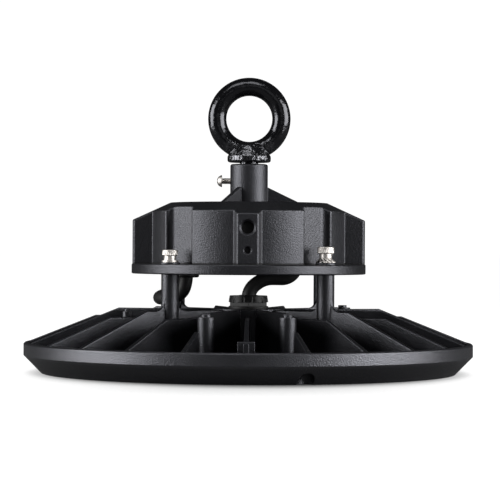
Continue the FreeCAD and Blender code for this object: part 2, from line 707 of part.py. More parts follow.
def housing_shell():
    """Cast body under its conical shoulder, with rounded shoulder edges."""
    plan = housing_plan()
    plan.translate(V(0, 0, HOUSING_Z))
    prism = plan.extrude(V(0, 0, HOUSING_TOP_Z - HOUSING_Z))
    far = LOBE_R + 4
    shoulder = turned([(0, HOUSING_Z - 1), (far, HOUSING_Z - 1), (far, cone_z(far)),
                       (TOP_R, HOUSING_TOP_Z), (0, HOUSING_TOP_Z)])
    body = prism.common(shoulder).removeSplitter()

    def on_shoulder(edge):
        low, high = edge.BoundBox.ZMin, edge.BoundBox.ZMax
        upright = edge.BoundBox.ZLength > (HOUSING_TOP_Z - HOUSING_Z) / 2
        return not upright and low > cone_z(LOBE_R) - 0.5 and high < HOUSING_TOP_Z - 0.5

    return rounded(body, on_shoulder, EDGE_ROUND)


def neck():
    """Round neck for the lifting eye with its three ribs."""
    column = rod(NECK_D, HOUSING_TOP_Z - 2, NECK_TOP_Z)
    column = rounded(column, lambda e: is_circle_at(e, NECK_TOP_Z, NECK_D / 2), NECK_ROUND)
    side = Part.makePolygon([
        V(0, 0, HOUSING_TOP_Z - 1), V(NECK_RIB_R, 0, HOUSING_TOP_Z - 1), V(NECK_RIB_R, 0, HOUSING_TOP_Z),
        V(NECK_D / 2, 0, HOUSING_TOP_Z + NECK_RIB_H), V(0, 0, HOUSING_TOP_Z + NECK_RIB_H),
        V(0, 0, HOUSING_TOP_Z - 1),
    ])
    rib = placed(Part.Face(side).extrude(V(0, NECK_RIB_T, 0)), V(0, -NECK_RIB_T / 2, 0))
    return fused([column] + [spun(rib, azimuth) for azimuth in NECK_RIB_AZ])


def front_hole(diameter, rim_d, z, depth):
    """Blind hole with a chamfered mouth in the front block."""
    mouth = (rim_d - diameter) / 2
    face = V(0, -BLOCK_FACE_Y, z)
    inward = V(0, 1, 0)
    bore = Part.makeCylinder(diameter / 2, depth, face, inward)
    lead_in = Part.makeCone(rim_d / 2 + 0.5, diameter / 2, mouth + 0.5, face - inward * 0.5, inward)
    return bore.fuse(lead_in)


def driver_housing():
    """The casting, hollowed for the driver and bored for the eye, screws and port."""
    casting = fused([housing_shell(), neck()])
    roof_z = HOUSING_TOP_Z - HOUSING_ROOF
    cavity = turned([(0, HOUSING_Z - 1), (CAVITY_R, HOUSING_Z - 1),
                     (CAVITY_R, roof_z - CAVITY_CONE_DROP), (CAVITY_R - 2 * CAVITY_CONE_DROP, roof_z),
                     (0, roof_z)])
    bore_d = SHANK_D + 2 * SHANK_CLEARANCE
    cuts = [cavity, rod(bore_d, NECK_TOP_Z - SHANK_L - 1.5, NECK_TOP_Z + 1)]
    lock = Part.makeCylinder(LOCK_D / 2 + LOCK_CLEARANCE, NECK_D, V(-NECK_D, 0, LOCK_Z), V(1, 0, 0))
    cuts.append(lock)
    cuts.append(front_hole(PORT_D, PORT_RIM_D, PORT_Z, PORT_DEPTH))
    cuts.append(front_hole(TRIM_D, TRIM_RIM_D, TRIM_Z, TRIM_DEPTH))
    for place in housing_screw_places():
        reach = BASE_UNDER_Z + HOUSING_SCREW_SINK + HOUSING_SCREW_L + 1.0
        cuts.append(rod(HOUSING_SCREW_D + 2 * BOLT_CLEARANCE, HOUSING_Z - 1, reach, place))
    return casting.cut(Part.makeCompound(cuts))


def port_plug():
    """Plug pushed into the front port, a little below the face."""
    start = V(0, -BLOCK_FACE_Y + PLUG_RECESS, PORT_Z)
    return Part.makeCylinder(PORT_D / 2 - 0.1, PORT_DEPTH - PLUG_RECESS, start, V(0, 1, 0))


def housing_screws():
    """Pan screws from below, heads sunk in the base plate."""
    seat = BASE_UNDER_Z + HOUSING_SCREW_SINK
    head = rod(HOUSING_SCREW_HEAD_D, seat - HOUSING_SCREW_HEAD_H, seat)
    screw = fused([head, rod(HOUSING_SCREW_D, seat, seat + HOUSING_SCREW_L)])
    return Part.makeCompound([placed(screw, place) for place in housing_screw_places()])


# ---- inside the driver ----
def driver_board():
    return rod(2 * (CAVITY_R - DRIVER_BOARD_CLEARANCE), DRIVER_BOARD_Z,
               DRIVER_BOARD_Z + DRIVER_BOARD_T)


def board_standoffs():
    places = [polar(STANDOFF_R, 45 + i * 360 / STANDOFF_COUNT) for i in range(STANDOFF_COUNT)]
    return Part.makeCompound([rod(STANDOFF_D, BASE_TOP_Z, DRIVER_BOARD_Z, place) for place in places])


def transformer():
    """Ferrite core with the winding bobbin standing out on both sides."""
    z0 = DRIVER_BOARD_Z + DRIVER_BOARD_T
    core = block(CORE_X, CORE_X + CORE_L, CORE_Y, CORE_Y + CORE_W, z0, z0 + CORE_H)
    form_x = CORE_X + (CORE_L - COIL_FORM_L) / 2
    form_y = CORE_Y + (CORE_W - COIL_FORM_W) / 2
    form = block(form_x, form_x + COIL_FORM_L, form_y, form_y + COIL_FORM_W, z0, z0 + COIL_FORM_H)
    return fused([core, form])


def capacitors():
    z0 = DRIVER_BOARD_Z + DRIVER_BOARD_T
    cans = [rod(CAPACITOR_D, z0, z0 + CAPACITOR_H, V(x, y, 0)) for x, y in CAPACITOR_PLACES]
    return Part.makeCompound(cans)


def choke():
    """Ring core of the input filter, lying flat."""
    z0 = DRIVER_BOARD_Z + DRIVER_BOARD_T
    ring = tube(CHOKE_OD / 2, CHOKE_ID / 2, z0, z0 + CHOKE_H)
    return placed(ring, V(CHOKE_X, CHOKE_Y, 0))


def terminal_block():
    z0 = DRIVER_BOARD_Z + DRIVER_BOARD_T
    half_l, half_w = TERMINAL_L / 2, TERMINAL_W / 2
    return block(TERMINAL_X - half_w, TERMINAL_X + half_w, TERMINAL_Y - half_l, TERMINAL_Y + half_l,
                 z0, z0 + TERMINAL_H)


# ---- lifting eye ----
def eye_bolt():
    """Forged ring on a tapered collar, with its shank down into the neck."""
    ring_r = (EYE_OD - EYE_WIRE_D) / 2
    ring = Part.makeTorus(ring_r, EYE_WIRE_D / 2, V(0, 0, EYE_CENTRE_Z), V(0, 1, 0))
    foot = NECK_TOP_Z + COLLAR_GAP
    rim_z = foot + COLLAR_RIM_H
    top_z = foot + COLLAR_H
    collar = turned([(0, foot), (COLLAR_D / 2, foot), (COLLAR_D / 2, rim_z),
                     (COLLAR_TOP_D / 2, top_z), (0, top_z)])
    collar = rounded(collar, lambda e: is_circle_at(e, foot, COLLAR_D / 2)
                     or is_circle_at(e, rim_z, COLLAR_D / 2), COLLAR_ROUND)
    collar = rounded(collar, lambda e: is_circle_at(e, top_z, COLLAR_TOP_D / 2), COLLAR_TOP_ROUND)
    shank = rod(SHANK_D, NECK_TOP_Z - SHANK_L, foot + 1)
    return fused([ring, collar, shank])


def neck_lock_screw():
    """Pan-head screw that keeps the eye from turning."""
    tip = -SHANK_D / 2 - LOCK_CLEARANCE
    outward = V(-1, 0, 0)
    shaft = Part.makeCylinder(LOCK_D / 2, LOCK_L, V(tip, 0, LOCK_Z), outward)
    head_r = LOCK_HEAD_D / 2
    seat = V(tip - LOCK_L, 0, LOCK_Z)
    ball_r = (head_r ** 2 + LOCK_HEAD_H ** 2) / (2 * LOCK_HEAD_H)
    ball = Part.makeSphere(ball_r, seat + outward * (LOCK_HEAD_H - ball_r))
    head = ball.common(Part.makeCylinder(head_r + 1, LOCK_HEAD_H + 1, seat, outward))
    return fused([shaft, head])


# ---- screws through the base into the posts ----
def washer_height(azimuth):
    return TOOTH_H if azimuth % 360 == TOOTH_AZ % 360 else FLAT_H


def head_size(azimuth):
    """Diameter and height of the screw head on a post."""
    tall = azimuth % 360 == TOOTH_AZ % 360
    return (TALL_HEAD_D, TALL_HEAD_H) if tall else (BOLT_HEAD_D, BOLT_HEAD_H)


def flange_screws():
    """Socket screws, each seated on its own washers."""
    screws = []
    for azimuth in POST_AZ:
        place = polar(POST_CIRCLE_R, azimuth)
        seat = BASE_TOP_Z + BOLT_PAD_H + washer_height(azimuth) + SPRING_H
        head_d, head_h = head_size(azimuth)
        top = seat + head_h
        head = rod(head_d, seat, top)
        head = rounded(head, lambda e: is_circle_at(e, top, head_d / 2), BOLT_HEAD_ROUND)
        drive = hexagon(DRIVE_D, top - DRIVE_DEPTH, top + 1)
        shaft = rod(BOLT_D, BASE_UNDER_Z - BOLT_ENGAGE, seat)
        screws.append(placed(fused([head, shaft]).cut(drive), place))
    return Part.makeCompound(screws)


def spring_washers():
    """Split washers under the heads."""
    washers = []
    bore = BOLT_D / 2 + BOLT_CLEARANCE
    for azimuth in POST_AZ:
        low = BASE_TOP_Z + BOLT_PAD_H + washer_height(azimuth)
        ring = tube(SPRING_D / 2, bore, low, low + SPRING_H)
        split = block(0, SPRING_D, -SPRING_SPLIT / 2, SPRING_SPLIT / 2, low - 1, low + SPRING_H + 1)
        split.rotate(V(SPRING_D / 4 + bore / 2, 0, low + SPRING_H / 2), V(1, 0, 0), 25)
        washers.append(placed(ring.cut(split), polar(POST_CIRCLE_R, azimuth)))
    return Part.makeCompound(washers)


def flat_washers():
    low = BASE_TOP_Z + BOLT_PAD_H
    ring = tube(FLAT_D / 2, BOLT_D / 2 + BOLT_CLEARANCE, low, low + FLAT_H)
    plain = [azimuth for azimuth in POST_AZ if azimuth % 360 != TOOTH_AZ % 360]
    return Part.makeCompound([placed(ring, polar(POST_CIRCLE_R, azimuth)) for azimuth in plain])


def tooth_washer():
    """Conical washer with teeth round its lower edge."""
    low = BASE_TOP_Z + BOLT_PAD_H
    top_r = SPRING_D / 2
    cone = turned([(0, low), (TOOTH_D / 2, low), (TOOTH_D / 2, low + 0.6), (top_r, low + TOOTH_H),
                   (0, low + TOOTH_H)])
    notch_w = math.pi * TOOTH_D / TOOTH_COUNT / 2
    notch = block(top_r, TOOTH_D, -notch_w / 2, notch_w / 2, low - 1, low + TOOTH_H + 1)
    notches = [spun(notch, i * 360 / TOOTH_COUNT) for i in range(TOOTH_COUNT)]
    bore = rod(BOLT_D + 2 * BOLT_CLEARANCE, low - 1, low + TOOTH_H + 1)
    return placed(cone.cut(Part.makeCompound(notches + [bore])), polar(POST_CIRCLE_R, TOOTH_AZ))


# ---- mains lead ----
def mains_gland_body():
    """Gland through the base plate, its hexagon under the recess roof."""
    centre = V(MAINS_X, MAINS_Y, 0)
    spigot = rod(MAINS_SPIGOT_D, RECESS_ROOF_Z, RECESS_ROOF_Z + MAINS_SPIGOT_L, centre)
    hexa = hexagon(MAINS_HEX_AF, RECESS_ROOF_Z - MAINS_HEX_H, RECESS_ROOF_Z, centre)
    bore_d = LEAD_D + 2 * LEAD_CLEARANCE
    low = RECESS_ROOF_Z - MAINS_HEX_H
    bore = rod(bore_d, low - 1, RECESS_ROOF_Z + MAINS_SPIGOT_L + 1, centre)
    return fused([spigot, hexa]).cut(bore)


def mains_gland_nut():
    """Round cap nut that grips the mains lead."""
    top = RECESS_ROOF_Z - MAINS_HEX_H
    low = top - MAINS_NUT_H
    cap = rod(MAINS_NUT_D, low, top)
    cap = rounded(cap, lambda e: is_circle_at(e, low, MAINS_NUT_D / 2), MAINS_NUT_ROUND)
    bore = rod(LEAD_D + 2 * LEAD_CLEARANCE, low - 1, top + 1)
    return placed(cap.cut(bore), V(MAINS_X, MAINS_Y, 0))


def mains_lead():
    return bent_tube(MAINS_ROUTE, LEAD_D, "mains_lead")


def mains_lead_coil():
    """Outer shape of the flat coil: four turns, two high and two wide, with its two tails."""
    r0 = COIL_INNER_R - LEAD_D / 2 - COIL_SLACK
    r1 = COIL_OUTER_R + LEAD_D / 2 + COIL_SLACK
    z1 = FLOOR_GAP + 2 * LEAD_D + COIL_SLACK
    soft = COIL_SOFT
    ring = turned([(r0, soft), (r0 + soft, 0), (r1 - soft, 0), (r1, soft),
                   (r1, z1 - soft), (r1 - soft, z1), (r0 + soft, z1), (r0, z1 - soft)])
    ring = placed(ring, V(COIL_X, COIL_Y, 0))
    back = V(0, -1, 0)
    lead_in = Part.makeCylinder(LEAD_D / 2, STUB_L, V(COIL_LEFT_X, COIL_Y, COIL_HIGH_Z), back)
    tail = Part.makeCylinder(LEAD_D / 2, STUB_L, V(COIL_RIGHT_X, COIL_Y, COIL_LOW_Z), back)
    return fused([ring, lead_in, tail])


def mains_cores():
    """Three bare-ended cores at the free end of the mains lead, ready for wiring."""
    cores = []
    start_y = COIL_Y - STUB_L - CORE_GAP
    for i in (-1, 0, 1):
        start = V(COIL_RIGHT_X + i * (CORE_D + 0.2), start_y, COIL_LOW_Z)
        end = V(start.x + i * CORE_SPREAD, start_y - CORE_LENGTH, CORE_D / 2 + FLOOR_GAP)
        cores.append(Part.makeCylinder(CORE_D / 2, (end - start).Length, start, end - start))
    return Part.makeCompound(cores)


PARTS = {
    "heat_sink": heat_sink,
    "thermal_pad": thermal_pad,
    "led_board": led_board,
    "led_chips": led_chips,
    "lens_plate": lens_plate,
    "lens_gasket": lens_gasket,
    "lens_bezel": lens_bezel,
    "bezel_screws": bezel_screws,
    "hub_seal": hub_seal,
    "hub_gland_body": hub_gland_body,
    "hub_gland_nut": hub_gland_nut,
    "dc_lead": dc_lead,
    "dc_grommet": dc_grommet,
    "driver_base": driver_base,
    "base_gasket": base_gasket,
    "driver_housing": driver_housing,
    "housing_screws": housing_screws,
    "port_plug": port_plug,
    "driver_board": driver_board,
    "board_standoffs": board_standoffs,
    "transformer": transformer,
    "capacitors": capacitors,
    "choke": choke,
    "terminal_block": terminal_block,
    "eye_bolt": eye_bolt,
    "neck_lock_screw": neck_lock_screw,
    "flange_screws": flange_screws,
    "spring_washers": spring_washers,
    "flat_washers": flat_washers,
    "tooth_washer": tooth_washer,
    "mains_gland_body": mains_gland_body,
    "mains_gland_nut": mains_gland_nut,
    "mains_lead": mains_lead,
    "mains_lead_coil": mains_lead_coil,
    "mains_cores": mains_cores,
}


def main():
    os.makedirs("parts", exist_ok=True)
    for name, make in PARTS.items():
        shape = make()
        box = shape.BoundBox
        print(name, "solids", len(shape.Solids), "valid", shape.isValid(),
              "volume", round(shape.Volume), "box",
              [round(v, 1) for v in (box.XMin, box.XMax, box.YMin, box.YMax, box.ZMin, box.ZMax)])
        shape.exportStep("parts/" + name + ".step")


main()
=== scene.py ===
"""Dresses the high bay light: finishes of its castings, screws and leads, the supply lead in its
coil, the small fastener detail, the studio and the camera. Metres, +Z up, front towards -Y.
"""
import math
import bmesh
import bpy
from bpy.props import FloatProperty, FloatVectorProperty, IntProperty, PointerProperty
from mathutils import Matrix, Vector

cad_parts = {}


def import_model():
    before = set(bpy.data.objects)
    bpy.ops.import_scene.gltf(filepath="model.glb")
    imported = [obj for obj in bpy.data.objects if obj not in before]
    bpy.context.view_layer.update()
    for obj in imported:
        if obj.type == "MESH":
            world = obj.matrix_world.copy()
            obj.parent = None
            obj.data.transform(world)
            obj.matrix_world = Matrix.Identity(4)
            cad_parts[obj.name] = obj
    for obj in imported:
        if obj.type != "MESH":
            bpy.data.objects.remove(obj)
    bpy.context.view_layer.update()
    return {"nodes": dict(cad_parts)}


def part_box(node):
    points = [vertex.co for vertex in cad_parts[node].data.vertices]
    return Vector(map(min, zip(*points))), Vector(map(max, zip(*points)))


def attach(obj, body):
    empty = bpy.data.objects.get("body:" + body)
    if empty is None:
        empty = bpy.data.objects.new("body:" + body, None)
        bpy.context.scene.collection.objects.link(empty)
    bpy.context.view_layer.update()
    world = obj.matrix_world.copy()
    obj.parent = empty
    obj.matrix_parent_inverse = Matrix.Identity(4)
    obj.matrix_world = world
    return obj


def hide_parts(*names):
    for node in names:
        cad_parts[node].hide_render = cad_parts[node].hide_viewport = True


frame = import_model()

bl_info = {
    "name": "High Bay Light Finish",
    "version": (1, 0, 0),
    "blender": (4, 5, 0),
    "location": "View3D > Sidebar > Lamp",
    "description": "Finishes, supply lead, fastener detail and studio for a high bay light",
    "category": "Object",
}

NODES = frame["nodes"]
MM = 0.001

FLOOR_GAP = 0.05 * MM  # between the floor and what lies on it

# Supply lead, its coil behind the lamp and the strap round the coil.
LEAD_D = 9.2 * MM
COIL_Y = 227.0 * MM
COIL_CENTRE = Vector((0, COIL_Y, 0))
COIL_INNER_R = 50.4 * MM
COIL_OUTER_R = COIL_INNER_R + LEAD_D
COIL_LOW_Z = LEAD_D / 2 + FLOOR_GAP
COIL_HIGH_Z = COIL_LOW_Z + LEAD_D
COIL_TURNS = 3.5
STUB_L = 36.0 * MM  # straight stretch before the coil and after it
TIE_WOUND = 130.0  # degrees along the coil where the strap holds it
TIE_T = 0.9 * MM
TIE_REACH = 50.0  # degrees over which the lower layer climbs onto the strap
CORE_D = 2.6 * MM
STRAND_R = 0.32 * MM

# Posts with a screw each; one screw has a toothed washer instead of a spring washer.
POST_AZIMUTHS = (45, 135, 225, 315)
TOOTHED_AZIMUTH = 315
POST_CIRCLE_R = 69.5 * MM

# Count and radius in millimetres of each ring of lamp packages.
PACKAGE_RINGS = ((6, 26.0), (12, 54.0), (18, 83.0))

# Outer band of the heat sink, where its coat goes from satin to glossier.
RIM_FROM_R = 144.0 * MM
RIM_FULL_R = 145.8 * MM

# Scaly collar of the eye: where its finish starts and where it counts in full.
COLLAR_TOP_Z = 153.5 * MM
COLLAR_FULL_Z = 150.0 * MM
COLLAR_OUT_R = 17.5 * MM
COLLAR_FULL_R = 15.0 * MM

# Softboxes: name, power setting and share of it, azimuth, distance, height, two sides.
SOFTBOXES = (
    ("side_light_left", "key_power", 1.0, -74.0, 1.3, 0.33, (1.0, 0.9)),
    ("side_light_right", "key_power", 1.2, 68.0, 1.3, 0.33, (1.2, 0.9)),
    ("front_fill", "fill_power", 1.0, 8.0, 1.6, 0.55, (0.8, 0.6)),
    ("under_light", "under_power", 1.0, 0.0, 0.02, -0.6, (1.5, 1.5)),
    ("top_light", "top_power", 1.0, -12.0, 0.75, 1.15, (1.0, 0.45)),
)
LIGHT_TARGET = (0, 0, 0.08)

# Loose stretch of the supply lead in millimetres, from its gland over the fins to the coil.
MAINS_ROUTE = (
    (-41.0, 4.0, 66.0),
    (-41.0, 4.0, 54.6),
    (-48.4, 10.4, 48.4),
    (-59.4, 26.0, 47.4),
    (-60.6, 53.0, 47.8),
    (-50.5, 85.0, 50.8),
    (-51.0, 126.0, 34.0),
    (-59.6, 159.0, 13.85),
)


# ---- settings that a user would change ----
class LampSizes(bpy.types.PropertyGroup):
    """Sizes of the pieces that are added to the solids."""
    thread_pitch: FloatProperty(
        name="Thread pitch", description="Pitch of the lock screw's thread",
        default=0.7 * MM, min=0.2 * MM, unit="LENGTH", precision=5)
    knurl_count: IntProperty(
        name="Knurl ridges", description="Ridges round the head of each flange screw",
        default=40, min=12)
    tie_width: FloatProperty(
        name="Tie width", description="Width of the strap round the coiled lead",
        default=12.0 * MM, min=3 * MM, unit="LENGTH", precision=4)
    core_bare: FloatProperty(
        name="Bare core", description="Stripped length of each core of the supply lead",
        default=7.0 * MM, min=1 * MM, unit="LENGTH", precision=4)


COLOUR = {"subtype": "COLOR", "size": 4, "min": 0, "max": 1}


class LampFinish(bpy.types.PropertyGroup):
    """Colours and gloss of the finishes."""
    coat_colour: FloatVectorProperty(
        name="Powder coat", description="Colour of the castings",
        **COLOUR, default=(0.0024, 0.0025, 0.0030, 1))
    coat_roughness: FloatProperty(
        name="Powder coat roughness", description="Gloss of the castings", default=0.35,
        min=0, max=1, subtype="FACTOR")
    eye_colour: FloatVectorProperty(
        name="Eye paint", description="Colour of the lifting eye",
        **COLOUR, default=(0.0020, 0.0020, 0.0024, 1))
    sheath_colour: FloatVectorProperty(
        name="Lead sheath", description="Colour of the leads",
        **COLOUR, default=(0.0030, 0.0030, 0.0033, 1))
    nickel_colour: FloatVectorProperty(
        name="Nickel", description="Colour of the plated screws",
        **COLOUR, default=(0.50, 0.475, 0.45, 1))
    key_power: FloatProperty(
        name="Side light", description="Power of each side softbox in watts", default=31.0, min=0)
    top_power: FloatProperty(
        name="Top light", description="Power of the softbox overhead in watts", default=7.0, min=0)
    fill_power: FloatProperty(
        name="Front fill", description="Power of the weak softbox in front in watts",
        default=0.7, min=0)
    under_power: FloatProperty(
        name="Under light", description="Power of the faint light from below in watts",
        default=3.0, min=0)
    sky_light: FloatProperty(
        name="Surroundings", description="Light from all round the lamp", default=0.035, min=0)
    floor_glow: FloatProperty(
        name="Floor glow", description="How far the floor is lifted to white for the camera",
        default=1.0, min=0)
    floor_colour: FloatVectorProperty(
        name="Floor", description="Colour of the studio floor as the lamp sees it",
        **COLOUR, default=(0.15, 0.15, 0.15, 1))


def sizes():
    return bpy.context.scene.lamp_sizes


def finish():
    return bpy.context.scene.lamp_finish


# ---- shader helpers ----
FLOAT = "NodeSocketFloat"
VECTOR = "NodeSocketVector"


def add(tree, kind, **settings):
    """New shader node; a setting whose name is a socket fills that socket."""
    node = tree.nodes.new("ShaderNode" + kind)
    for key, value in settings.items():
        if key in node.inputs:
            node.inputs[key].default_value = value
        else:
            setattr(node, key, value)
    return node


def wire(tree, source, target):
    tree.links.new(source, target)


def new_group(name, inputs, outputs):
    """Empty shader group with named float or vector sockets; gives group, entry and exit."""
    group = bpy.data.node_groups.new(name, "ShaderNodeTree")
    for label, kind, default in inputs:
        socket = group.interface.new_socket(name=label, in_out="INPUT", socket_type=kind)
        socket.default_value = default
    for label, kind in outputs:
        group.interface.new_socket(name=label, in_out="OUTPUT", socket_type=kind)
    return group, group.nodes.new("NodeGroupInput"), group.nodes.new("NodeGroupOutput")


def feed(tree, node, *values):
    """Outputs or plain values into a node's inputs, in their order."""
    for value, target in zip(values, node.inputs):
        if isinstance(value, bpy.types.NodeSocket):
            wire(tree, value, target)
        else:
            target.default_value = value


def math_node(tree, operation, first, second):
    """Math node with outputs or numbers as its two inputs; gives its output."""
    node = add(tree, "Math", operation=operation)
    feed(tree, node, first, second)
    return node.outputs[0]


def vector_node(tree, operation, *values):
    """Vector math node with outputs or vectors as its inputs; gives the output that counts."""
    node = add(tree, "VectorMath", operation=operation)
    feed(tree, node, *values)
    return node.outputs["Value" if operation in ("DOT_PRODUCT", "LENGTH") else "Vector"]


def frame_point(tree):
    """Position in the lamp's own frame, in metres."""
    return add(tree, "TexCoord").outputs["Object"]


def times(tree, first, second):
    """Product of two outputs, or of an output and a number."""
    return math_node(tree, "MULTIPLY", first, second)


def ramp(tree, value, start, end, low=0.0, high=1.0):
    """Value carried in a straight line from low at start to high at end, and held beyond."""
    spread = add(tree, "MapRange", clamp=True)
    for key, amount in (("From Min", start), ("From Max", end), ("To Min", low), ("To Max", high)):
        spread.inputs[key].default_value = amount
    wire(tree, value, spread.inputs["Value"])
    return spread.outputs[0]


def away_from_axis(tree, point):
    """Distance of a point from the lamp's upright axis."""
    return vector_node(tree, "LENGTH", vector_node(tree, "MULTIPLY", point, (1.0, 1.0, 0.0)))


def scaled_noise(tree, point, scale, detail=2.0, roughness=0.5):
    """Noise over a point at so many waves to the metre; gives its value output."""
    noise = add(tree, "TexNoise", Scale=scale, Detail=detail, Roughness=roughness)
    wire(tree, point, noise.inputs["Vector"])
    return noise.outputs["Fac"]


def make_grain_group():
    """Powder coat or moulded grain: fine pimples over a soft orange peel, and a slow mottle."""
    group, entry, leave = new_group(
        "Fine Grain", [("Grains per Metre", FLOAT, 1500.0), ("Peel", FLOAT, 0.5)],
        [("Height", FLOAT), ("Mottle", FLOAT)])
    point = frame_point(group)
    fine = add(group, "TexNoise", Detail=2.0, Roughness=0.6)
    wire(group, point, fine.inputs["Vector"])
    wire(group, entry.outputs["Grains per Metre"], fine.inputs["Scale"])
    peel = scaled_noise(group, point, scale=420.0, detail=1.0)
    lift = times(group, peel, entry.outputs["Peel"])
    wire(group, math_node(group, "ADD", fine.outputs["Fac"], lift), leave.inputs["Height"])
    mottle = scaled_noise(group, point, scale=38.0, detail=4.0, roughness=0.6)
    wire(group, mottle, leave.inputs["Mottle"])
    return group


def make_edge_group():
    """Mask of edges and corners, from the normal of a slightly rounded copy of the surface."""
    group, entry, leave = new_group(
        "Edge Line", [("Width", FLOAT, 0.0006)], [("Mask", FLOAT), ("Soft Normal", VECTOR)])
    bevel = add(group, "Bevel", samples=6)
    wire(group, entry.outputs["Width"], bevel.inputs["Radius"])
    geometry = add(group, "NewGeometry")
    turned = vector_node(group, "DOT_PRODUCT", bevel.outputs[0], geometry.outputs["Normal"])
    flat, sharp = 1.0, 0.90
    wire(group, ramp(group, turned, flat, sharp), leave.inputs["Mask"])
    wire(group, bevel.outputs[0], leave.inputs["Soft Normal"])
    return group


def make_dust_group():
    """Thin dust that settles on what faces up, in soft patches."""
    group, entry, leave = new_group(
        "Settled Dust", [("Amount", FLOAT, 0.3)], [("Mask", FLOAT)])
    geometry = add(group, "NewGeometry")
    split = add(group, "SeparateXYZ")
    wire(group, geometry.outputs["Normal"], split.inputs[0])
    facing = math_node(group, "MAXIMUM", split.outputs["Z"], 0.0)
    patch = scaled_noise(group, frame_point(group), scale=90.0, detail=5.0, roughness=0.65)
    speck = times(group, facing, patch)
    wire(group, times(group, speck, entry.outputs["Amount"]), leave.inputs["Mask"])
    return group


def make_lines_group():
    """Fine lines left by turning or drawing, across one direction."""
    group, entry, leave = new_group(
        "Tool Lines",
        [("Lines per Metre", FLOAT, 9000.0), ("Stretch", VECTOR, (1, 1, 1))],
        [("Height", FLOAT)])
    squeezed = vector_node(group, "MULTIPLY", frame_point(group), entry.outputs["Stretch"])
    lines = add(group, "TexNoise", Detail=3.0)
    wire(group, squeezed, lines.inputs["Vector"])
    wire(group, entry.outputs["Lines per Metre"], lines.inputs["Scale"])
    wire(group, lines.outputs["Fac"], leave.inputs["Height"])
    return group


GROUP_MAKERS = {
    "Fine Grain": make_grain_group,
    "Edge Line": make_edge_group,
    "Settled Dust": make_dust_group,
    "Tool Lines": make_lines_group,
}


def fill(node, values):
    """Values on a node's sockets; an underscore in a name stands for a space."""
    for key, value in values.items():
        node.inputs[key.replace("_", " ")].default_value = value


def place_group(tree, name, **inputs):
    """Shared effect placed in a material, built the first time it is asked for."""
    group = bpy.data.node_groups.get(name) or GROUP_MAKERS[name]()
    node = tree.nodes.new("ShaderNodeGroup")
    node.node_tree = group
    fill(node, inputs)
    return node


def start_material(name, colour, roughness, **principled):
    """Material with one Principled shader; gives material, tree and shader."""
    material = bpy.data.materials.new(name)
    material.use_nodes = True
    tree = material.node_tree
    shader = tree.nodes["Principled BSDF"]
    opaque = tuple(colour[:3]) + (1,)
    fill(shader, {"Base Color": opaque, "Roughness": roughness, **principled})
    material.diffuse_color = opaque
    return material, tree, shader


def drive_colour(shader, mask, low, high):
    """Base colour that goes from one shade to another with a mask."""
    tree = shader.id_data
    mix = add(tree, "Mix", data_type="RGBA")
    mix.inputs[6].default_value = tuple(low[:3]) + (1,)
    mix.inputs[7].default_value = tuple(high[:3]) + (1,)
    wire(tree, mask, mix.inputs[0])
    wire(tree, mix.outputs[2], shader.inputs["Base Color"])


def drive_roughness(shader, mask, low, high):
    """Roughness that goes from one value to another with a mask."""
    tree = shader.id_data
    wire(tree, ramp(tree, mask, 0.0, 1.0, low, high), shader.inputs["Roughness"])


def waver_roughness(shader, grain, roughness):
    """Roughness that wavers round its value with the mottle of a grain group."""
    drive_roughness(shader, grain.outputs["Mottle"], roughness - 0.05, roughness + 0.07)


def bump(shader, height, strength, distance, edge=None):
    """Bump from a height into the shader's normal, with softened edges if their group is given."""
    tree = shader.id_data
    node = add(tree, "Bump", Strength=strength, Distance=distance)
    wire(tree, height, node.inputs["Height"])
    if edge is not None:
        wire(tree, edge.outputs["Soft Normal"], node.inputs["Normal"])
    wire(tree, node.outputs[0], shader.inputs["Normal"])


def shade(colour, factor):
    """Lighter or darker copy of a colour."""
    return tuple(min(1.0, c * factor) for c in colour[:3]) + (1,)


# ---- finishes ----
def powder_coat(name, edge_width=0.0007, rougher=0.0, open_rim=False):
    """Satin black powder coat on a die casting, a little brighter at its edges as a painted
    highlight.

    With open_rim the coat lies glossier on the outer band than between the fins.
    """
    colour = finish().coat_colour
    rough = finish().coat_roughness + rougher
    material, tree, shader = start_material(name, colour, rough, Specular_Tint=(0.90, 0.91, 1.0, 1))
    grain = place_group(tree, "Fine Grain", Grains_per_Metre=1200.0, Peel=0.12)
    edge = place_group(tree, "Edge Line", Width=edge_width)
    dust = place_group(tree, "Settled Dust", Amount=0.04)
    # painted highlight: the edge mask lightens the coat colour along edges and corners; real
    # settled dust joins it in the same mask
    edge_highlight_share = 0.45
    mask = times(tree, edge.outputs["Mask"], edge_highlight_share)
    mask = math_node(tree, "MAXIMUM", mask, dust.outputs["Mask"])
    drive_colour(shader, mask, colour, shade(colour, 3.2))
    waver_roughness(shader, grain, rough)
    bump(shader, grain.outputs["Height"], strength=0.55, distance=0.0004, edge=edge)
    if open_rim:
        away = away_from_axis(tree, frame_point(tree))
        shine = ramp(tree, away, RIM_FROM_R, RIM_FULL_R, low=0.5, high=0.82)
        wire(tree, shine, shader.inputs["Specular IOR Level"])
    return material


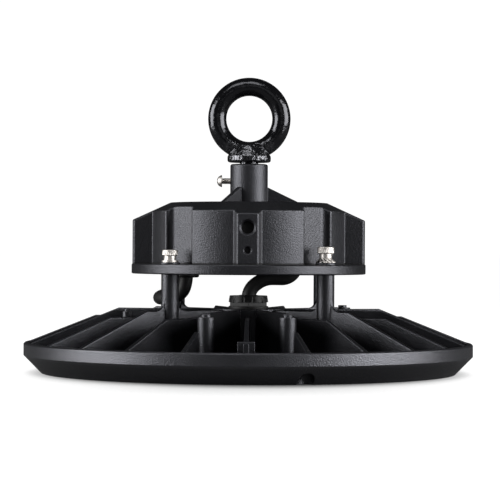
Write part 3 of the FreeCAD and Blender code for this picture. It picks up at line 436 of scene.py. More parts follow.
def eye_paint():
    """Glossy black paint over a forged surface, smooth on the ring and scaly on the collar."""
    colour = finish().eye_colour
    material, tree, shader = start_material("Eye Paint", colour, 0.15, Specular_IOR_Level=0.42,
                                            Specular_Tint=(0.85, 0.86, 0.92, 1))
    point = frame_point(tree)
    lumps = scaled_noise(tree, point, scale=170.0)
    pits = scaled_noise(tree, point, scale=900.0, detail=3.0, roughness=0.6)
    pit_depth, scale_depth = 0.16, 2.2
    height = math_node(tree, "ADD", lumps, times(tree, pits, pit_depth))
    split = add(tree, "SeparateXYZ")
    wire(tree, point, split.inputs[0])
    low_down = ramp(tree, split.outputs["Z"], COLLAR_TOP_Z, COLLAR_FULL_Z)
    close_in = ramp(tree, away_from_axis(tree, point), COLLAR_OUT_R, COLLAR_FULL_R)
    on_collar = times(tree, low_down, close_in)
    scales = scaled_noise(tree, point, scale=430.0)
    scales = times(tree, scales, scale_depth)
    height = math_node(tree, "ADD", height, times(tree, scales, on_collar))
    shine = ramp(tree, on_collar, 0.0, 1.0, low=0.42, high=0.95)
    wire(tree, shine, shader.inputs["Specular IOR Level"])
    edge = place_group(tree, "Edge Line", Width=0.0008)
    bump(shader, height, strength=0.35, distance=0.0012, edge=edge)
    # painted highlight: the paint colour is lightened along edges and corners
    drive_colour(shader, edge.outputs["Mask"], colour, shade(colour, 2.0))
    drive_roughness(shader, pits, low=0.10, high=0.20)
    return material


def nickel():
    """Bright nickel plate with faint turning lines."""
    colour = finish().nickel_colour
    material, tree, shader = start_material("Nickel Plate", colour, 0.42, Metallic=1.0)
    lines = place_group(tree, "Tool Lines", Lines_per_Metre=2600.0, Stretch=(1, 1, 4))
    edge = place_group(tree, "Edge Line", Width=0.0003)
    drive_colour(shader, lines.outputs["Height"], shade(colour, 0.72), shade(colour, 1.1))
    drive_roughness(shader, lines.outputs["Height"], low=0.36, high=0.52)
    bump(shader, lines.outputs["Height"], strength=0.12, distance=0.00006, edge=edge)
    return material


def zinc():
    """Dull zinc plate on the hidden screws."""
    material, tree, shader = start_material("Zinc Plate", (0.50, 0.50, 0.49), 0.36, Metallic=1.0)
    grain = place_group(tree, "Fine Grain", Grains_per_Metre=2400.0, Peel=0.3)
    drive_colour(shader, grain.outputs["Mottle"], (0.40, 0.40, 0.39), (0.62, 0.62, 0.60))
    drive_roughness(shader, grain.outputs["Mottle"], low=0.28, high=0.46)
    bump(shader, grain.outputs["Height"], strength=0.10, distance=0.00005)
    return material


def moulded(name, colour, roughness=0.42, grains=2600.0, strength=0.14, shine=0.5):
    """Moulded plastic or rubber with a fine skin."""
    material, tree, shader = start_material(name, colour, roughness, Specular_IOR_Level=shine)
    grain = place_group(tree, "Fine Grain", Grains_per_Metre=grains, Peel=0.35)
    edge = place_group(tree, "Edge Line", Width=0.0004)
    drive_colour(shader, grain.outputs["Mottle"], shade(colour, 0.8), shade(colour, 1.25))
    waver_roughness(shader, grain, roughness)
    bump(shader, grain.outputs["Height"], strength=strength, distance=0.00008, edge=edge)
    return material


def sheath():
    """Matt rubber sheath with a faint drawn skin."""
    colour = finish().sheath_colour
    material, tree, shader = start_material("Lead Sheath", colour, 0.5, Specular_IOR_Level=0.3)
    grain = place_group(tree, "Fine Grain", Grains_per_Metre=1300.0, Peel=0.8)
    dust = place_group(tree, "Settled Dust", Amount=0.10)
    drive_colour(shader, dust.outputs["Mask"], colour, shade(colour, 2.6))
    drive_roughness(shader, grain.outputs["Mottle"], low=0.45, high=0.6)
    bump(shader, grain.outputs["Height"], strength=0.16, distance=0.0001)
    return material


def clear_lens():
    """Clear moulded polycarbonate."""
    material, tree, shader = start_material("Clear Lens", (0.93, 0.95, 0.96), 0.06, IOR=1.58,
                                            Transmission_Weight=0.9)
    ripple = scaled_noise(tree, frame_point(tree), scale=60.0, detail=1.0)
    drive_roughness(shader, ripple, low=0.03, high=0.10)
    bump(shader, ripple, strength=0.05, distance=0.0004)
    return material


def white_board():
    """White solder mask with the copper lands showing faintly through it."""
    material, tree, shader = start_material("White Board", (0.84, 0.85, 0.84), 0.38)
    point = frame_point(tree)
    cells = add(tree, "TexVoronoi", feature="DISTANCE_TO_EDGE", Scale=46.0, Randomness=0.35)
    wire(tree, point, cells.inputs["Vector"])
    gap = math_node(tree, "LESS_THAN", cells.outputs["Distance"], 0.03)
    drive_colour(shader, gap, (0.86, 0.86, 0.85), (0.74, 0.75, 0.73))
    bump(shader, math_node(tree, "SUBTRACT", 1.0, gap), strength=0.2, distance=0.00006)
    drive_roughness(shader, scaled_noise(tree, point, scale=300.0), low=0.32, high=0.46)
    return material


def phosphor():
    """Yellow phosphor under clear silicone."""
    material, tree, shader = start_material("Phosphor", (0.86, 0.62, 0.09), 0.24, Coat_Weight=0.5)
    speck = scaled_noise(tree, frame_point(tree), scale=5200.0)
    drive_colour(shader, speck, (0.78, 0.52, 0.05), (0.93, 0.74, 0.16))
    drive_roughness(shader, speck, low=0.18, high=0.32)
    return material


def board_green():
    """Green solder mask of the driver board."""
    material, tree, shader = start_material("Green Board", (0.02, 0.16, 0.07), 0.34)
    cells = add(tree, "TexVoronoi", feature="DISTANCE_TO_EDGE", Scale=160.0, Randomness=0.6)
    wire(tree, frame_point(tree), cells.inputs["Vector"])
    trace = math_node(tree, "LESS_THAN", cells.outputs["Distance"], 0.06)
    drive_colour(shader, trace, (0.02, 0.17, 0.07), (0.03, 0.24, 0.11))
    bump(shader, trace, strength=0.3, distance=0.00005)
    return material


def copper():
    """Bare copper strands."""
    material, tree, shader = start_material("Copper", (0.78, 0.36, 0.20), 0.28, Metallic=1.0)
    speck = scaled_noise(tree, frame_point(tree), scale=2400.0)
    drive_colour(shader, speck, (0.62, 0.27, 0.15), (0.88, 0.46, 0.28))
    drive_roughness(shader, speck, low=0.2, high=0.4)
    return material


def webbing(name, colour):
    """Woven hook-and-loop strap."""
    material, tree, shader = start_material(name, colour, 0.85, Sheen_Weight=0.3)
    weave = add(tree, "TexWave", wave_type="BANDS", bands_direction="DIAGONAL", Scale=900.0,
                Distortion=1.2)
    wire(tree, frame_point(tree), weave.inputs["Vector"])
    drive_colour(shader, weave.outputs["Fac"], shade(colour, 0.7), shade(colour, 1.5))
    bump(shader, weave.outputs["Fac"], strength=0.5, distance=0.0002)
    return material


def dress(material, *names):
    """Puts one material on CAD nodes in place of the plain one."""
    for name in names:
        mesh = NODES[name].data
        mesh.materials.clear()
        mesh.materials.append(material)


# ---- mesh helpers ----
def new_object(name, data):
    """Object for a mesh, curve, light or camera, linked into the scene."""
    thing = bpy.data.objects.new(name, data)
    bpy.context.scene.collection.objects.link(thing)
    return thing


def mesh_from(name, build):
    """Mesh from a bmesh, which is freed."""
    mesh = bpy.data.meshes.new(name)
    build.to_mesh(mesh)
    build.free()
    return mesh


def piece_from(name, build, material, degrees=None):
    """Object from a bmesh, linked, dressed and riding on the lamp, smoothed up to an angle."""
    bmesh.ops.recalc_face_normals(build, faces=build.faces)
    mesh = mesh_from(name, build)
    piece = new_object(name, mesh)
    mesh.materials.append(material)
    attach(piece, "root")
    if degrees is not None:
        smooth(piece, degrees)
    return piece


def round_line(name, points, diameter, material, facets, steps=12):
    """Round solid line drawn smoothly along its points, with flat ends."""
    curve = bpy.data.curves.new(name, "CURVE")
    curve.dimensions = "3D"
    curve.bevel_depth = diameter / 2
    curve.bevel_resolution = facets
    curve.use_fill_caps = True
    curve.resolution_u = steps
    line = curve.splines.new("NURBS")
    line.points.add(len(points) - 1)
    for knot, point in zip(line.points, points):
        knot.co = (*point, 1)
    line.order_u = 3
    line.use_endpoint_u = True
    piece = new_object(name, curve)
    curve.materials.append(material)
    return piece


def skin_between(build, rows):
    """Faces between rows of vertices that all have the same count."""
    for lower, upper in zip(rows, rows[1:]):
        count = len(lower)
        for i in range(count):
            j = (i + 1) % count
            build.faces.new((lower[i], lower[j], upper[j], upper[i]))


def grid_of_rings(build, rings, closed_ends=True):
    """Skin over rings of points that all have the same count; ends are closed flat."""
    rows = [[build.verts.new(point) for point in ring] for ring in rings]
    skin_between(build, rows)
    if closed_ends:
        build.faces.new(list(reversed(rows[0])))
        build.faces.new(rows[-1])


def smooth(piece, degrees):
    """Smooth shading that keeps edges sharper than an angle."""
    mesh = piece.data
    mesh.shade_smooth()
    limit = math.radians(degrees)
    shape = bmesh.new()
    shape.from_mesh(mesh)
    for edge in shape.edges:
        edge.smooth = not edge.is_manifold or edge.calc_face_angle(0) < limit
    shape.to_mesh(mesh)
    shape.free()


def turn(radius, angle, height):
    """Point at a radius, angle and height about the upright axis."""
    return Vector((radius * math.cos(angle), radius * math.sin(angle), height))


def angles(count):
    """Evenly spaced angles round a full circle."""
    return [2 * math.pi * i / count for i in range(count)]


def circle(place, radius, height, count):
    """Points round an upright line through a place."""
    return [place + turn(radius, a, height) for a in angles(count)]


def ease(share):
    """Smooth step from 0 to 1."""
    share = min(1.0, max(0.0, share))
    return share * share * (3 - 2 * share)


# ---- supply lead ----
def coil_points():
    """Points of the coiled part, which is two rings wide and two layers high.

    The line runs clockwise from the left. It moves to the inner ring, then down, then out
    again, each time just before the place where it would meet itself.
    """
    per_turn = 18
    step = 360 / per_turn
    reach = 1 / math.cos(math.radians(step / 2))
    move = 60.0
    inward_at, down_at, outward_at = 300.0, 600.0, 900.0
    points = []
    count = int(round(360 * COIL_TURNS / step))
    for i in range(count + 1):
        wound = i * step
        inward = ease((wound - inward_at) / move)
        outward = ease((wound - outward_at) / move)
        down = ease((wound - down_at) / move)
        radius = COIL_OUTER_R - (COIL_OUTER_R - COIL_INNER_R) * (inward - outward)
        height = COIL_HIGH_Z - (COIL_HIGH_Z - COIL_LOW_Z) * down
        angle = math.radians(180 - wound)
        place = turn(radius * reach, angle, height + tie_lift(wound, down))
        points.append(place + COIL_CENTRE)
    return points


def tie_lift(wound, down):
    """The lower layer lies on the strap where the strap passes under it."""
    away = abs((wound - TIE_WOUND + 180) % 360 - 180)
    return down * TIE_T * ease(1 - away / TIE_REACH)


def supply_lead(material):
    """The mains lead as one smooth line: loose stretch, coil and tail."""
    loose = [Vector(point) * MM for point in MAINS_ROUTE]
    coil = coil_points()
    left = Vector((-COIL_OUTER_R, COIL_Y - STUB_L, COIL_HIGH_Z))
    tail = Vector((COIL_OUTER_R, COIL_Y - STUB_L, COIL_LOW_Z))
    points = loose + [left] + coil + [tail]
    lead = round_line("supply_lead", points, LEAD_D, material, facets=6, steps=8)
    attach(lead, "root")
    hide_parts("mains_lead", "mains_lead_coil")
    return lead


def coil_tie(material):
    """Strap round the section of the coil, with its free tab lapped over the top."""
    build = bmesh.new()
    half_w = sizes().tie_width / 2
    middle_r = (COIL_INNER_R + COIL_OUTER_R) / 2
    side_gap = 0.15 * MM
    top_gap = 0.2 * MM
    half_r = (COIL_OUTER_R - COIL_INNER_R + LEAD_D) / 2 + side_gap
    low = FLOOR_GAP
    high = COIL_HIGH_Z + LEAD_D / 2 + top_gap
    corner = LEAD_D * 0.42
    corner_steps = 6
    angle = math.radians(180 - TIE_WOUND)
    radial = Vector((math.cos(angle), math.sin(angle), 0))
    along = Vector((-math.sin(angle), math.cos(angle), 0))
    centre = COIL_CENTRE + radial * middle_r

    def loop(grow):
        """Rounded outline of the bundle, grown by a distance."""
        outline = []
        mid_z = (low + TIE_T + high) / 2
        half_z = (high - low - TIE_T) / 2
        for k, (side_r, side_z) in enumerate(((1, 1), (-1, 1), (-1, -1), (1, -1))):
            for i in range(corner_steps + 1):
                a = math.radians(90 * (k + i / corner_steps))
                r = side_r * (half_r - corner) + (corner + grow) * math.cos(a)
                z = side_z * (half_z - corner) + (corner + grow) * math.sin(a)
                outline.append((r, mid_z + z))
        return outline

    rows = []
    for grow, edge in ((0, -1), (TIE_T, -1), (TIE_T, 1), (0, 1)):
        ring = [centre + radial * r + along * edge * half_w + Vector((0, 0, z))
                for r, z in loop(grow)]
        rows.append([build.verts.new(point) for point in ring])
    skin_between(build, rows + rows[:1])
    # Free tab: lapped over the top, narrower and a little thinner than the strap.
    tab_z = high + TIE_T * 0.6
    tab = bmesh.ops.create_cube(build, size=1.0)
    size = Matrix.Diagonal((half_r * 1.15, half_w * 1.7, TIE_T * 0.8, 1))
    spin = Matrix.Rotation(angle, 4, "Z")
    shift = Matrix.Translation(centre + radial * half_r * 0.2 + Vector((0, 0, tab_z)))
    bmesh.ops.transform(build, matrix=shift @ spin @ size, verts=tab["verts"])
    return piece_from("coil_tie", build, material, degrees=40)


def core_line(name, index, material):
    """One insulated core of the tail, fanned out a little on the floor."""
    spacing = 2.8 * MM
    fanned = 3.0 * MM
    inside = 3 * MM
    outside = 31.0 * MM
    start = Vector((COIL_OUTER_R + index * spacing, COIL_Y - STUB_L + inside, COIL_LOW_Z))
    floor_z = CORE_D / 2 + FLOOR_GAP
    end = Vector((start.x + index * fanned, COIL_Y - STUB_L - outside, floor_z))
    points = [start, start + Vector((0, -10 * MM, -0.4 * MM)),
              (start + end) / 2 + Vector((index * 0.8 * MM, -3 * MM, -0.9 * MM)),
              end + Vector((0, 8 * MM, 0)), end]
    core = round_line(name, points, CORE_D, material, facets=4)
    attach(core, "root")
    return core, end


def strand_bundle(name, tip, material):
    """Twisted copper strands that stand out of a stripped core."""
    build = bmesh.new()
    length = sizes().core_bare
    sunk = 1 * MM
    lay_r = 0.66 * MM
    lay_twist = 2.2
    steps = 8
    places = [(0.0, 0.0)] + [(lay_r, a) for a in angles(6)]
    for radius, start in places:
        rings = []
        for i in range(steps + 1):
            share = i / steps
            twist = start + share * lay_twist
            centre = tip + Vector((radius * math.cos(twist), sunk - share * (length + sunk),
                                   radius * math.sin(twist)))
            rings.append([centre + Vector((STRAND_R * math.cos(a), 0, STRAND_R * math.sin(a)))
                          for a in angles(6)])
        grid_of_rings(build, rings)
    return piece_from(name, build, material, degrees=50)


# ---- fasteners ----
def threaded_rings(major_r, minor_r, pitch, length, around=28, per_pitch=8):
    """Rings of a screw thread along +Z, with flattened crests and a runout at both ends."""
    rings = []
    count = int(length / pitch * per_pitch)
    for i in range(count + 1):
        z = length * i / count
        ring = []
        for a in angles(around):
            phase = (z / pitch - a / (2 * math.pi)) % 1.0
            ridge = min(1.0, 1.5 * (1 - abs(2 * phase - 1)))
            runout = min(1.0, (length - z) / pitch, z / pitch + 0.2)
            radius = minor_r + (major_r - minor_r) * ridge * runout
            ring.append(turn(radius, a, z))
        rings.append(ring)
    return rings


def cross_cutter(width, length, depth, top):
    """Block in the form of a cross, tapered towards its foot, for a driver recess."""
    foot_length, foot_width = 0.45, 0.7
    over = 1 * MM
    build = bmesh.new()
    for quarter in (0, 1):
        made = bmesh.ops.create_cube(build, size=1.0)
        for vert in made["verts"]:
            at_foot = vert.co.z < 0
            x = vert.co.x * length * (foot_length if at_foot else 1.0)
            y = vert.co.y * width * (foot_width if at_foot else 1.0)
            z = top - depth if at_foot else top + over
            vert.co = (y, x, z) if quarter else (x, y, z)
    bmesh.ops.recalc_face_normals(build, faces=build.faces)
    return new_object("cross_cutter", mesh_from("cross_cutter", build))


def cut_away(piece, cutter):
    """Takes the cutter's shape out of a piece and throws the cutter away."""
    tool = piece.modifiers.new("recess", "BOOLEAN")
    tool.operation = "DIFFERENCE"
    tool.solver = "EXACT"
    tool.use_self = True
    tool.object = cutter
    seen = bpy.context.evaluated_depsgraph_get()
    cut = bpy.data.meshes.new_from_object(piece.evaluated_get(seen))
    piece.modifiers.clear()
    old = piece.data
    piece.data = cut
    bpy.data.meshes.remove(old)
    bpy.data.objects.remove(cutter)


def lock_screw(material):
    """Pan-head screw in the neck: threaded shank, domed head and cross recess."""
    low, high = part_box("neck_lock_screw")
    axis_z = (low.z + high.z) / 2
    head_r = (high.z - low.z) / 2
    head_h = 3.4 * MM
    shank_r = 2.0 * MM
    shank_l = high.x - low.x - head_h
    thread_l = shank_l - 0.4 * MM
    root_r = shank_r * 0.82
    around = 40
    steps = 10
    first, last = 0.04, 0.96
    origin = Vector((0, 0, 0))
    build = bmesh.new()
    grid_of_rings(build, threaded_rings(shank_r, root_r, sizes().thread_pitch, thread_l))
    dome_r = (head_r ** 2 + head_h ** 2) / (2 * head_h)
    head = [circle(origin, shank_r * 0.9, shank_l - 0.5 * MM, around),
            circle(origin, shank_r * 0.95, shank_l, around),
            circle(origin, head_r * 0.98, shank_l, around)]
    for i in range(steps):
        z = head_h * (first + (last - first) * i / (steps - 1))
        radius = math.sqrt(max(0.0, dome_r ** 2 - (z + dome_r - head_h) ** 2))
        head.append(circle(origin, radius, shank_l + z, around))
    grid_of_rings(build, head)
    screw = piece_from("lock_screw", build, material)
    cutter = cross_cutter(width=0.9 * MM, length=4.2 * MM, depth=1.7 * MM, top=shank_l + head_h)
    cut_away(screw, cutter)
    to_left = Matrix.Rotation(math.radians(-90), 4, "Y")
    screw.data.transform(Matrix.Translation((high.x, 0, axis_z)) @ to_left)
    smooth(screw, 30)
    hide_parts("neck_lock_screw")


def socket_head(build, place, seat, top, head_r):
    """Knurled cap head with a hexagon socket, from its seat to its top."""
    around = sizes().knurl_count * 4
    knurl = 0.14 * MM
    soft = 0.7 * MM
    socket_r = 2.2 * MM / math.cos(math.radians(30))
    socket_lip = 0.3 * MM
    depth = 1.8 * MM
    shoulder_steps = 4

    def knurled(radius, z):
        ring = []
        for i, a in enumerate(angles(around)):
            ridge = knurl if i % 4 in (1, 2) else 0.0
            ring.append(place + turn(radius - knurl + ridge, a, z))
        return ring

    def plain(radius, z):
        return circle(place, radius, z, around)

    def hexagon(radius, z):
        ring = []
        for a in angles(around):
            within = (a + math.pi / 6) % (math.pi / 3) - math.pi / 6
            flat = radius * math.cos(math.radians(30)) / math.cos(within)
            ring.append(place + turn(flat, a, z))
        return ring

    # Up the outside from the seat, over the rounded shoulder, then down the socket.
    rings = [plain(2.4 * MM, seat), plain(head_r - soft * 0.6, seat),
             knurled(head_r, seat + soft * 0.4), knurled(head_r, top - soft)]
    for i in range(1, shoulder_steps + 1):
        a = math.radians(90 * i / shoulder_steps)
        rings.append(plain(head_r - soft + soft * math.cos(a), top - soft + soft * math.sin(a)))
    rings += [plain(socket_r + socket_lip, top), hexagon(socket_r, top - 0.25 * MM),
              hexagon(socket_r, top - depth), plain(0.3 * MM, top - depth - 0.5 * MM)]
    grid_of_rings(build, rings)


def flange_screws(material):
    """Four cap screws with threaded shanks, in place of the plain solids."""
    low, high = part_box("flange_screws")
    spring_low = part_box("spring_washers")[0].z
    spring_h = 3.0 * MM
    head_h, head_r = 3.7 * MM, 5.0 * MM
    tall_h, tall_r = 4.3 * MM, 5.3 * MM
    major_r, minor_r, pitch = 2.5 * MM, 2.1 * MM, 0.8 * MM
    sunk = 0.2 * MM
    build = bmesh.new()
    for azimuth in POST_AZIMUTHS:
        place = turn(POST_CIRCLE_R, math.radians(azimuth), 0)
        toothed = azimuth == TOOTHED_AZIMUTH
        seat = high.z - tall_h if toothed else spring_low + spring_h
        top = high.z if toothed else seat + head_h
        socket_head(build, place, seat, top, tall_r if toothed else head_r)
        shank = threaded_rings(major_r, minor_r, pitch, seat - low.z + sunk)
        lifted = [[place + Vector((0, 0, low.z)) + point for point in ring] for ring in shank]
        grid_of_rings(build, lifted)
    screws = piece_from("cap_screws", build, material, degrees=28)
    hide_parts("flange_screws")


def star_washer(material):
    """Conical toothed washer: the teeth are twisted strips between hub ring and edge."""
    low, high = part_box("tooth_washer")
    centre = (low + high) / 2
    place = Vector((centre.x, centre.y, 0))
    edge_r = (high.x - low.x) / 2
    bore_r = 2.75 * MM
    top_r = 4.0 * MM
    sheet = 0.55 * MM
    lip = 0.45 * MM
    teeth = 12
    around = 56
    steps = 5
    first_z, last_z = high.z - 0.5 * MM, low.z + 0.3 * MM
    swept = 0.5
    tooth_share = 0.44
    most_tilt = 0.45 * MM
    build = bmesh.new()
    crown = [circle(place, r, z, around) for r, z in (
        (bore_r, high.z - sheet), (bore_r, high.z), (top_r, high.z), (top_r + lip, high.z - lip),
        (top_r, high.z - lip - sheet), (bore_r, high.z - sheet - 0.2 * MM))]
    grid_of_rings(build, crown, closed_ends=False)
    for start in angles(teeth):
        rings = []
        for i in range(steps + 1):
            share = i / steps
            radius = top_r + (edge_r - top_r) * share
            z = first_z + (last_z - first_z) * share
            middle = start + swept * share
            half = tooth_share * math.pi / teeth * (0.9 + 0.1 * share)
            tilt = most_tilt * share
            rings.append([place + turn(radius, middle - half, z - tilt + sheet / 2),
                          place + turn(radius, middle + half, z + tilt + sheet / 2),
                          place + turn(radius, middle + half, z + tilt - sheet / 2),
                          place + turn(radius, middle - half, max(low.z, z - tilt - sheet / 2))])
        grid_of_rings(build, rings)
    washer = piece_from("star_washer", build, material, degrees=30)
    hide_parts("tooth_washer")


# ---- lamp side ----
def phosphor_dots(material):
    """Round phosphor windows on the lamp packages."""
    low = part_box("led_chips")[0]
    window_r = 1.75 * MM
    build = bmesh.new()
    around = 24
    # Share of the window's radius and millimetres below the package, from its foot to its tip.
    dome = ((1.0, -0.1), (1.0, 0.02), (0.86, 0.12), (0.5, 0.2), (0.1, 0.22))
    for count, radius in PACKAGE_RINGS:
        for a in angles(count):
            place = turn(radius * MM, a, 0)
            rings = [circle(place, window_r * share, low.z - below * MM, around)
                     for share, below in dome]
            grid_of_rings(build, rings)
    piece_from("phosphor_windows", build, material, degrees=40)


def gland_insert(name, centre, low, high, outer_r, material):
    """Rubber bush that shows between a gland's nut and its lead."""
    build = bmesh.new()
    inner_r = LEAD_D / 2 + 0.02 * MM
    bevel = 0.3 * MM
    profile = ((inner_r, low), (inner_r, high - bevel), (inner_r + 0.25 * MM, high),
               (outer_r - bevel, high), (outer_r, high - bevel), (outer_r, low))
    rings = [circle(centre, r, z, 40) for r, z in profile]
    grid_of_rings(build, rings + rings[:1], closed_ends=False)
    bmesh.ops.remove_doubles(build, verts=build.verts, dist=1e-7)
    piece_from(name, build, material, degrees=40)


# ---- operators ----
class LAMP_OT_castings(bpy.types.Operator):
    """Powder-coated castings and the bezel under them"""
    bl_idname = "lamp.castings"
    bl_label = "Castings"

    def execute(self, context):
        dress(powder_coat("Powder Coat Sink", open_rim=True), "heat_sink")
        dress(powder_coat("Powder Coat Base", rougher=0.04), "driver_base")
        dress(powder_coat("Powder Coat Housing", rougher=0.05), "driver_housing")
        dress(powder_coat("Powder Coat Bezel", edge_width=0.0004), "lens_bezel")
        return {"FINISHED"}


class LAMP_OT_eye(bpy.types.Operator):
    """Glossy lifting eye and the screw that locks it"""
    bl_idname = "lamp.eye"
    bl_label = "Lifting eye"

    def execute(self, context):
        dress(eye_paint(), "eye_bolt")
        lock_screw(nickel())
        return {"FINISHED"}


class LAMP_OT_fasteners(bpy.types.Operator):
    """Cap screws, their washers and the hidden screws"""
    bl_idname = "lamp.fasteners"
    bl_label = "Fasteners"

    def execute(self, context):
        bright = bpy.data.materials.get("Nickel Plate") or nickel()
        dress(bright, "spring_washers", "flat_washers")
        flange_screws(bright)
        star_washer(bright)
        dress(zinc(), "bezel_screws", "housing_screws", "board_standoffs")
        return {"FINISHED"}


class LAMP_OT_leads(bpy.types.Operator):
    """Supply lead with its coil and cores, the lead to the driver, and the glands"""
    bl_idname = "lamp.leads"
    bl_label = "Leads and glands"

    def execute(self, context):
        cover = sheath()
        dress(cover, "dc_lead")
        lead = supply_lead(cover)
        strap = coil_tie(webbing("Tie Webbing", (0.02, 0.02, 0.022)))
        bare = copper()
        extras = [strap]
        colours = {"brown": (0.16, 0.06, 0.025), "green_yellow": (0.55, 0.58, 0.03),
                   "blue": (0.03, 0.10, 0.42)}
        for index, (name, colour) in zip((-1, 0, 1), colours.items()):
            skin = moulded("Core " + name, colour, 0.35, 3000.0, 0.06)
            core, tip = core_line("core_" + name, index, skin)
            extras += [core, strand_bundle("strands_" + name, tip, bare)]
        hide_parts("mains_cores")
        nylon = moulded("Gland Nylon", (0.0025, 0.0025, 0.0028), 0.46, shine=0.24)
        dress(nylon, "hub_gland_body", "hub_gland_nut", "mains_gland_body", "mains_gland_nut")
        rubber = moulded("Seal Rubber", (0.004, 0.004, 0.004), 0.6, shine=0.3)
        dress(rubber, "hub_seal", "dc_grommet", "base_gasket", "lens_gasket", "port_plug")
        nut_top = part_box("hub_gland_nut")[1].z
        low, high, outer_r = nut_top - 3 * MM, nut_top + 0.4 * MM, 6.2 * MM
        gland_insert("hub_bush", Vector((0, 0, 0)), low, high, outer_r, rubber)
        return {"FINISHED"}


class LAMP_OT_lamp_side(bpy.types.Operator):
    """Lamp board and lens plate on the underside"""
    bl_idname = "lamp.lamp_side"
    bl_label = "Lamp side"

    def execute(self, context):
        dress(clear_lens(), "lens_plate")
        dress(white_board(), "led_board")
        package = moulded("Lamp Package", (0.80, 0.80, 0.76), 0.35, 4000.0, 0.05)
        dress(package, "led_chips")
        dress(moulded("Thermal Pad", (0.35, 0.36, 0.38), 0.7), "thermal_pad")
        phosphor_dots(phosphor())
        return {"FINISHED"}


class LAMP_OT_driver(bpy.types.Operator):
    """Electronics inside the housing"""
    bl_idname = "lamp.driver"
    bl_label = "Driver parts"

    def execute(self, context):
        dress(board_green(), "driver_board")
        dress(moulded("Ferrite", (0.05, 0.05, 0.055), 0.5), "transformer", "choke")
        dress(moulded("Can Sleeve", (0.02, 0.03, 0.09), 0.3), "capacitors")
        dress(moulded("Terminal", (0.03, 0.24, 0.09), 0.4), "terminal_block")
        return {"FINISHED"}


class LAMP_OT_stage(bpy.types.Operator):
    """Pale floor, soft side lights and the camera"""
    bl_idname = "lamp.stage"
    bl_label = "Studio"

    def execute(self, context):
        floor()
        world()
        for name, setting, share, azimuth, distance, height, size in SOFTBOXES:
            power = getattr(finish(), setting) * share
            softbox(name, azimuth, distance, height, size, power)
        camera()
        return {"FINISHED"}


# ---- studio ----
def floor():
    """Pale floor plane that lets the underside be seen from below.

    Its glow fades near the lamp with the ambient occlusion, which is read along a normal that
    leans with the place on the floor, and so gives the soft shadow its shape.
    """
    half_side = 30.0
    shadow_reach, shadow_depth = 0.21, 1.8
    build = bmesh.new()
    bmesh.ops.create_grid(build, x_segments=1, y_segments=1, size=half_side)
    mesh = mesh_from("floor", build)
    plane = new_object("floor", mesh)
    plane.location.z = -0.2 * MM
    material, tree, shader = start_material("Studio Floor", finish().floor_colour, 0.9)
    shader.inputs["Specular IOR Level"].default_value = 0.1
    nearby = add(tree, "AmbientOcclusion", samples=12, Distance=shadow_reach)
    surface = add(tree, "NewGeometry")
    lean, up = (12.0, -10.0, 0.0), (0.0, 0.0, 1.0)
    leaned = vector_node(tree, "MULTIPLY_ADD", surface.outputs["Position"], lean, up)
    wire(tree, vector_node(tree, "NORMALIZE", leaned), nearby.inputs["Normal"])
    soft = math_node(tree, "POWER", nearby.outputs["AO"], shadow_depth)
    glow = add(tree, "Emission", Color=(1, 1, 1, 1))
    seen = times(tree, add(tree, "LightPath").outputs["Is Camera Ray"], finish().floor_glow)
    wire(tree, times(tree, seen, soft), glow.inputs["Strength"])
    both = add(tree, "AddShader")
    feed(tree, both, shader.outputs[0], glow.outputs[0])
    clear = add(tree, "BsdfTransparent")
    from_below = add(tree, "MixShader")
    feed(tree, from_below, surface.outputs["Backfacing"], both.outputs[0], clear.outputs[0])
    wire(tree, from_below.outputs[0], tree.nodes["Material Output"].inputs["Surface"])
    plane.visible_shadow = False
    mesh.materials.append(material)


def world():
    """White surroundings for the camera, dimmer for what they light and mirror."""
    sky = bpy.data.worlds.new("Studio")
    bpy.context.scene.world = sky
    sky.use_nodes = True
    tree = sky.node_tree
    tree.nodes.clear()
    seen = add(tree, "Background", Color=(1, 1, 1, 1), Strength=1.05)
    felt = add(tree, "Background", Color=(1, 1, 1, 1), Strength=finish().sky_light)
    by_camera = add(tree, "LightPath").outputs["Is Camera Ray"]
    mix = add(tree, "MixShader")
    feed(tree, mix, by_camera, felt.outputs[0], seen.outputs[0])
    leave = add(tree, "OutputWorld")
    wire(tree, mix.outputs[0], leave.inputs["Surface"])


def aim(thing, target):
    """Turns a light or camera towards a point."""
    heading = Vector(target) - thing.location
    thing.rotation_euler = heading.to_track_quat("-Z", "Y").to_euler()


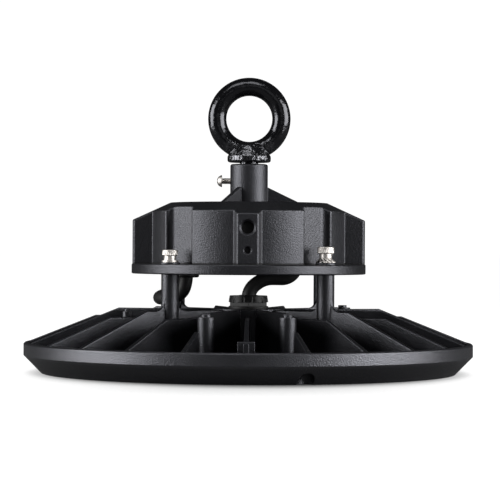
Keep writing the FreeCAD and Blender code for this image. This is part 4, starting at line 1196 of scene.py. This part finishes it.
def softbox(name, azimuth, distance, height, size, power):
    """Rectangular light aimed at the lamp; azimuths count from the front towards the right."""
    light = bpy.data.lights.new(name, "AREA")
    light.shape = "RECTANGLE"
    light.size, light.size_y = size
    light.energy = power
    lamp = new_object(name, light)
    a = math.radians(azimuth)
    lamp.location = (distance * math.sin(a), -distance * math.cos(a), height)
    aim(lamp, LIGHT_TARGET)


def camera():
    """Long lens level with the driver, a little to the right of the front."""
    data = bpy.data.cameras.new("camera")
    data.sensor_width = 36.0
    data.lens = 155.5
    data.shift_x = 0.0026
    data.shift_y = -0.004
    data.clip_start = 0.05
    data.clip_end = 100.0
    eye = new_object("camera", data)
    turned = math.radians(0.55)
    distance = 1.414
    height = 0.0812
    roll = -0.005
    eye.location = (distance * math.sin(turned), -distance * math.cos(turned), height)
    eye.rotation_euler = (math.radians(90), roll, turned)
    bpy.context.scene.camera = eye
    bpy.context.scene.view_settings.view_transform = "Standard"


class LAMP_PT_panel(bpy.types.Panel):
    """Sidebar panel that lists the steps in order"""
    bl_label = "High Bay Light"
    bl_space_type = "VIEW_3D"
    bl_region_type = "UI"
    bl_category = "Lamp"

    def draw(self, context):
        column = self.layout.column(align=True)
        for step in STEPS:
            column.operator(step.bl_idname)
        for group in (context.scene.lamp_sizes, context.scene.lamp_finish):
            for key in group.bl_rna.properties.keys():
                if key not in ("rna_type", "name"):
                    column.prop(group, key)


STEPS = (LAMP_OT_castings, LAMP_OT_eye, LAMP_OT_fasteners, LAMP_OT_leads, LAMP_OT_lamp_side,
         LAMP_OT_driver, LAMP_OT_stage)
CLASSES = (LampSizes, LampFinish) + STEPS + (LAMP_PT_panel,)


def register():
    for item in CLASSES:
        bpy.utils.register_class(item)
    bpy.types.Scene.lamp_sizes = PointerProperty(type=LampSizes)
    bpy.types.Scene.lamp_finish = PointerProperty(type=LampFinish)


def unregister():
    del bpy.types.Scene.lamp_finish
    del bpy.types.Scene.lamp_sizes
    for item in reversed(CLASSES):
        bpy.utils.unregister_class(item)


def main():
    register()
    for step in STEPS:
        category, name = step.bl_idname.split(".")
        getattr(getattr(bpy.ops, category), name)()


if __name__ == "__main__":
    main()
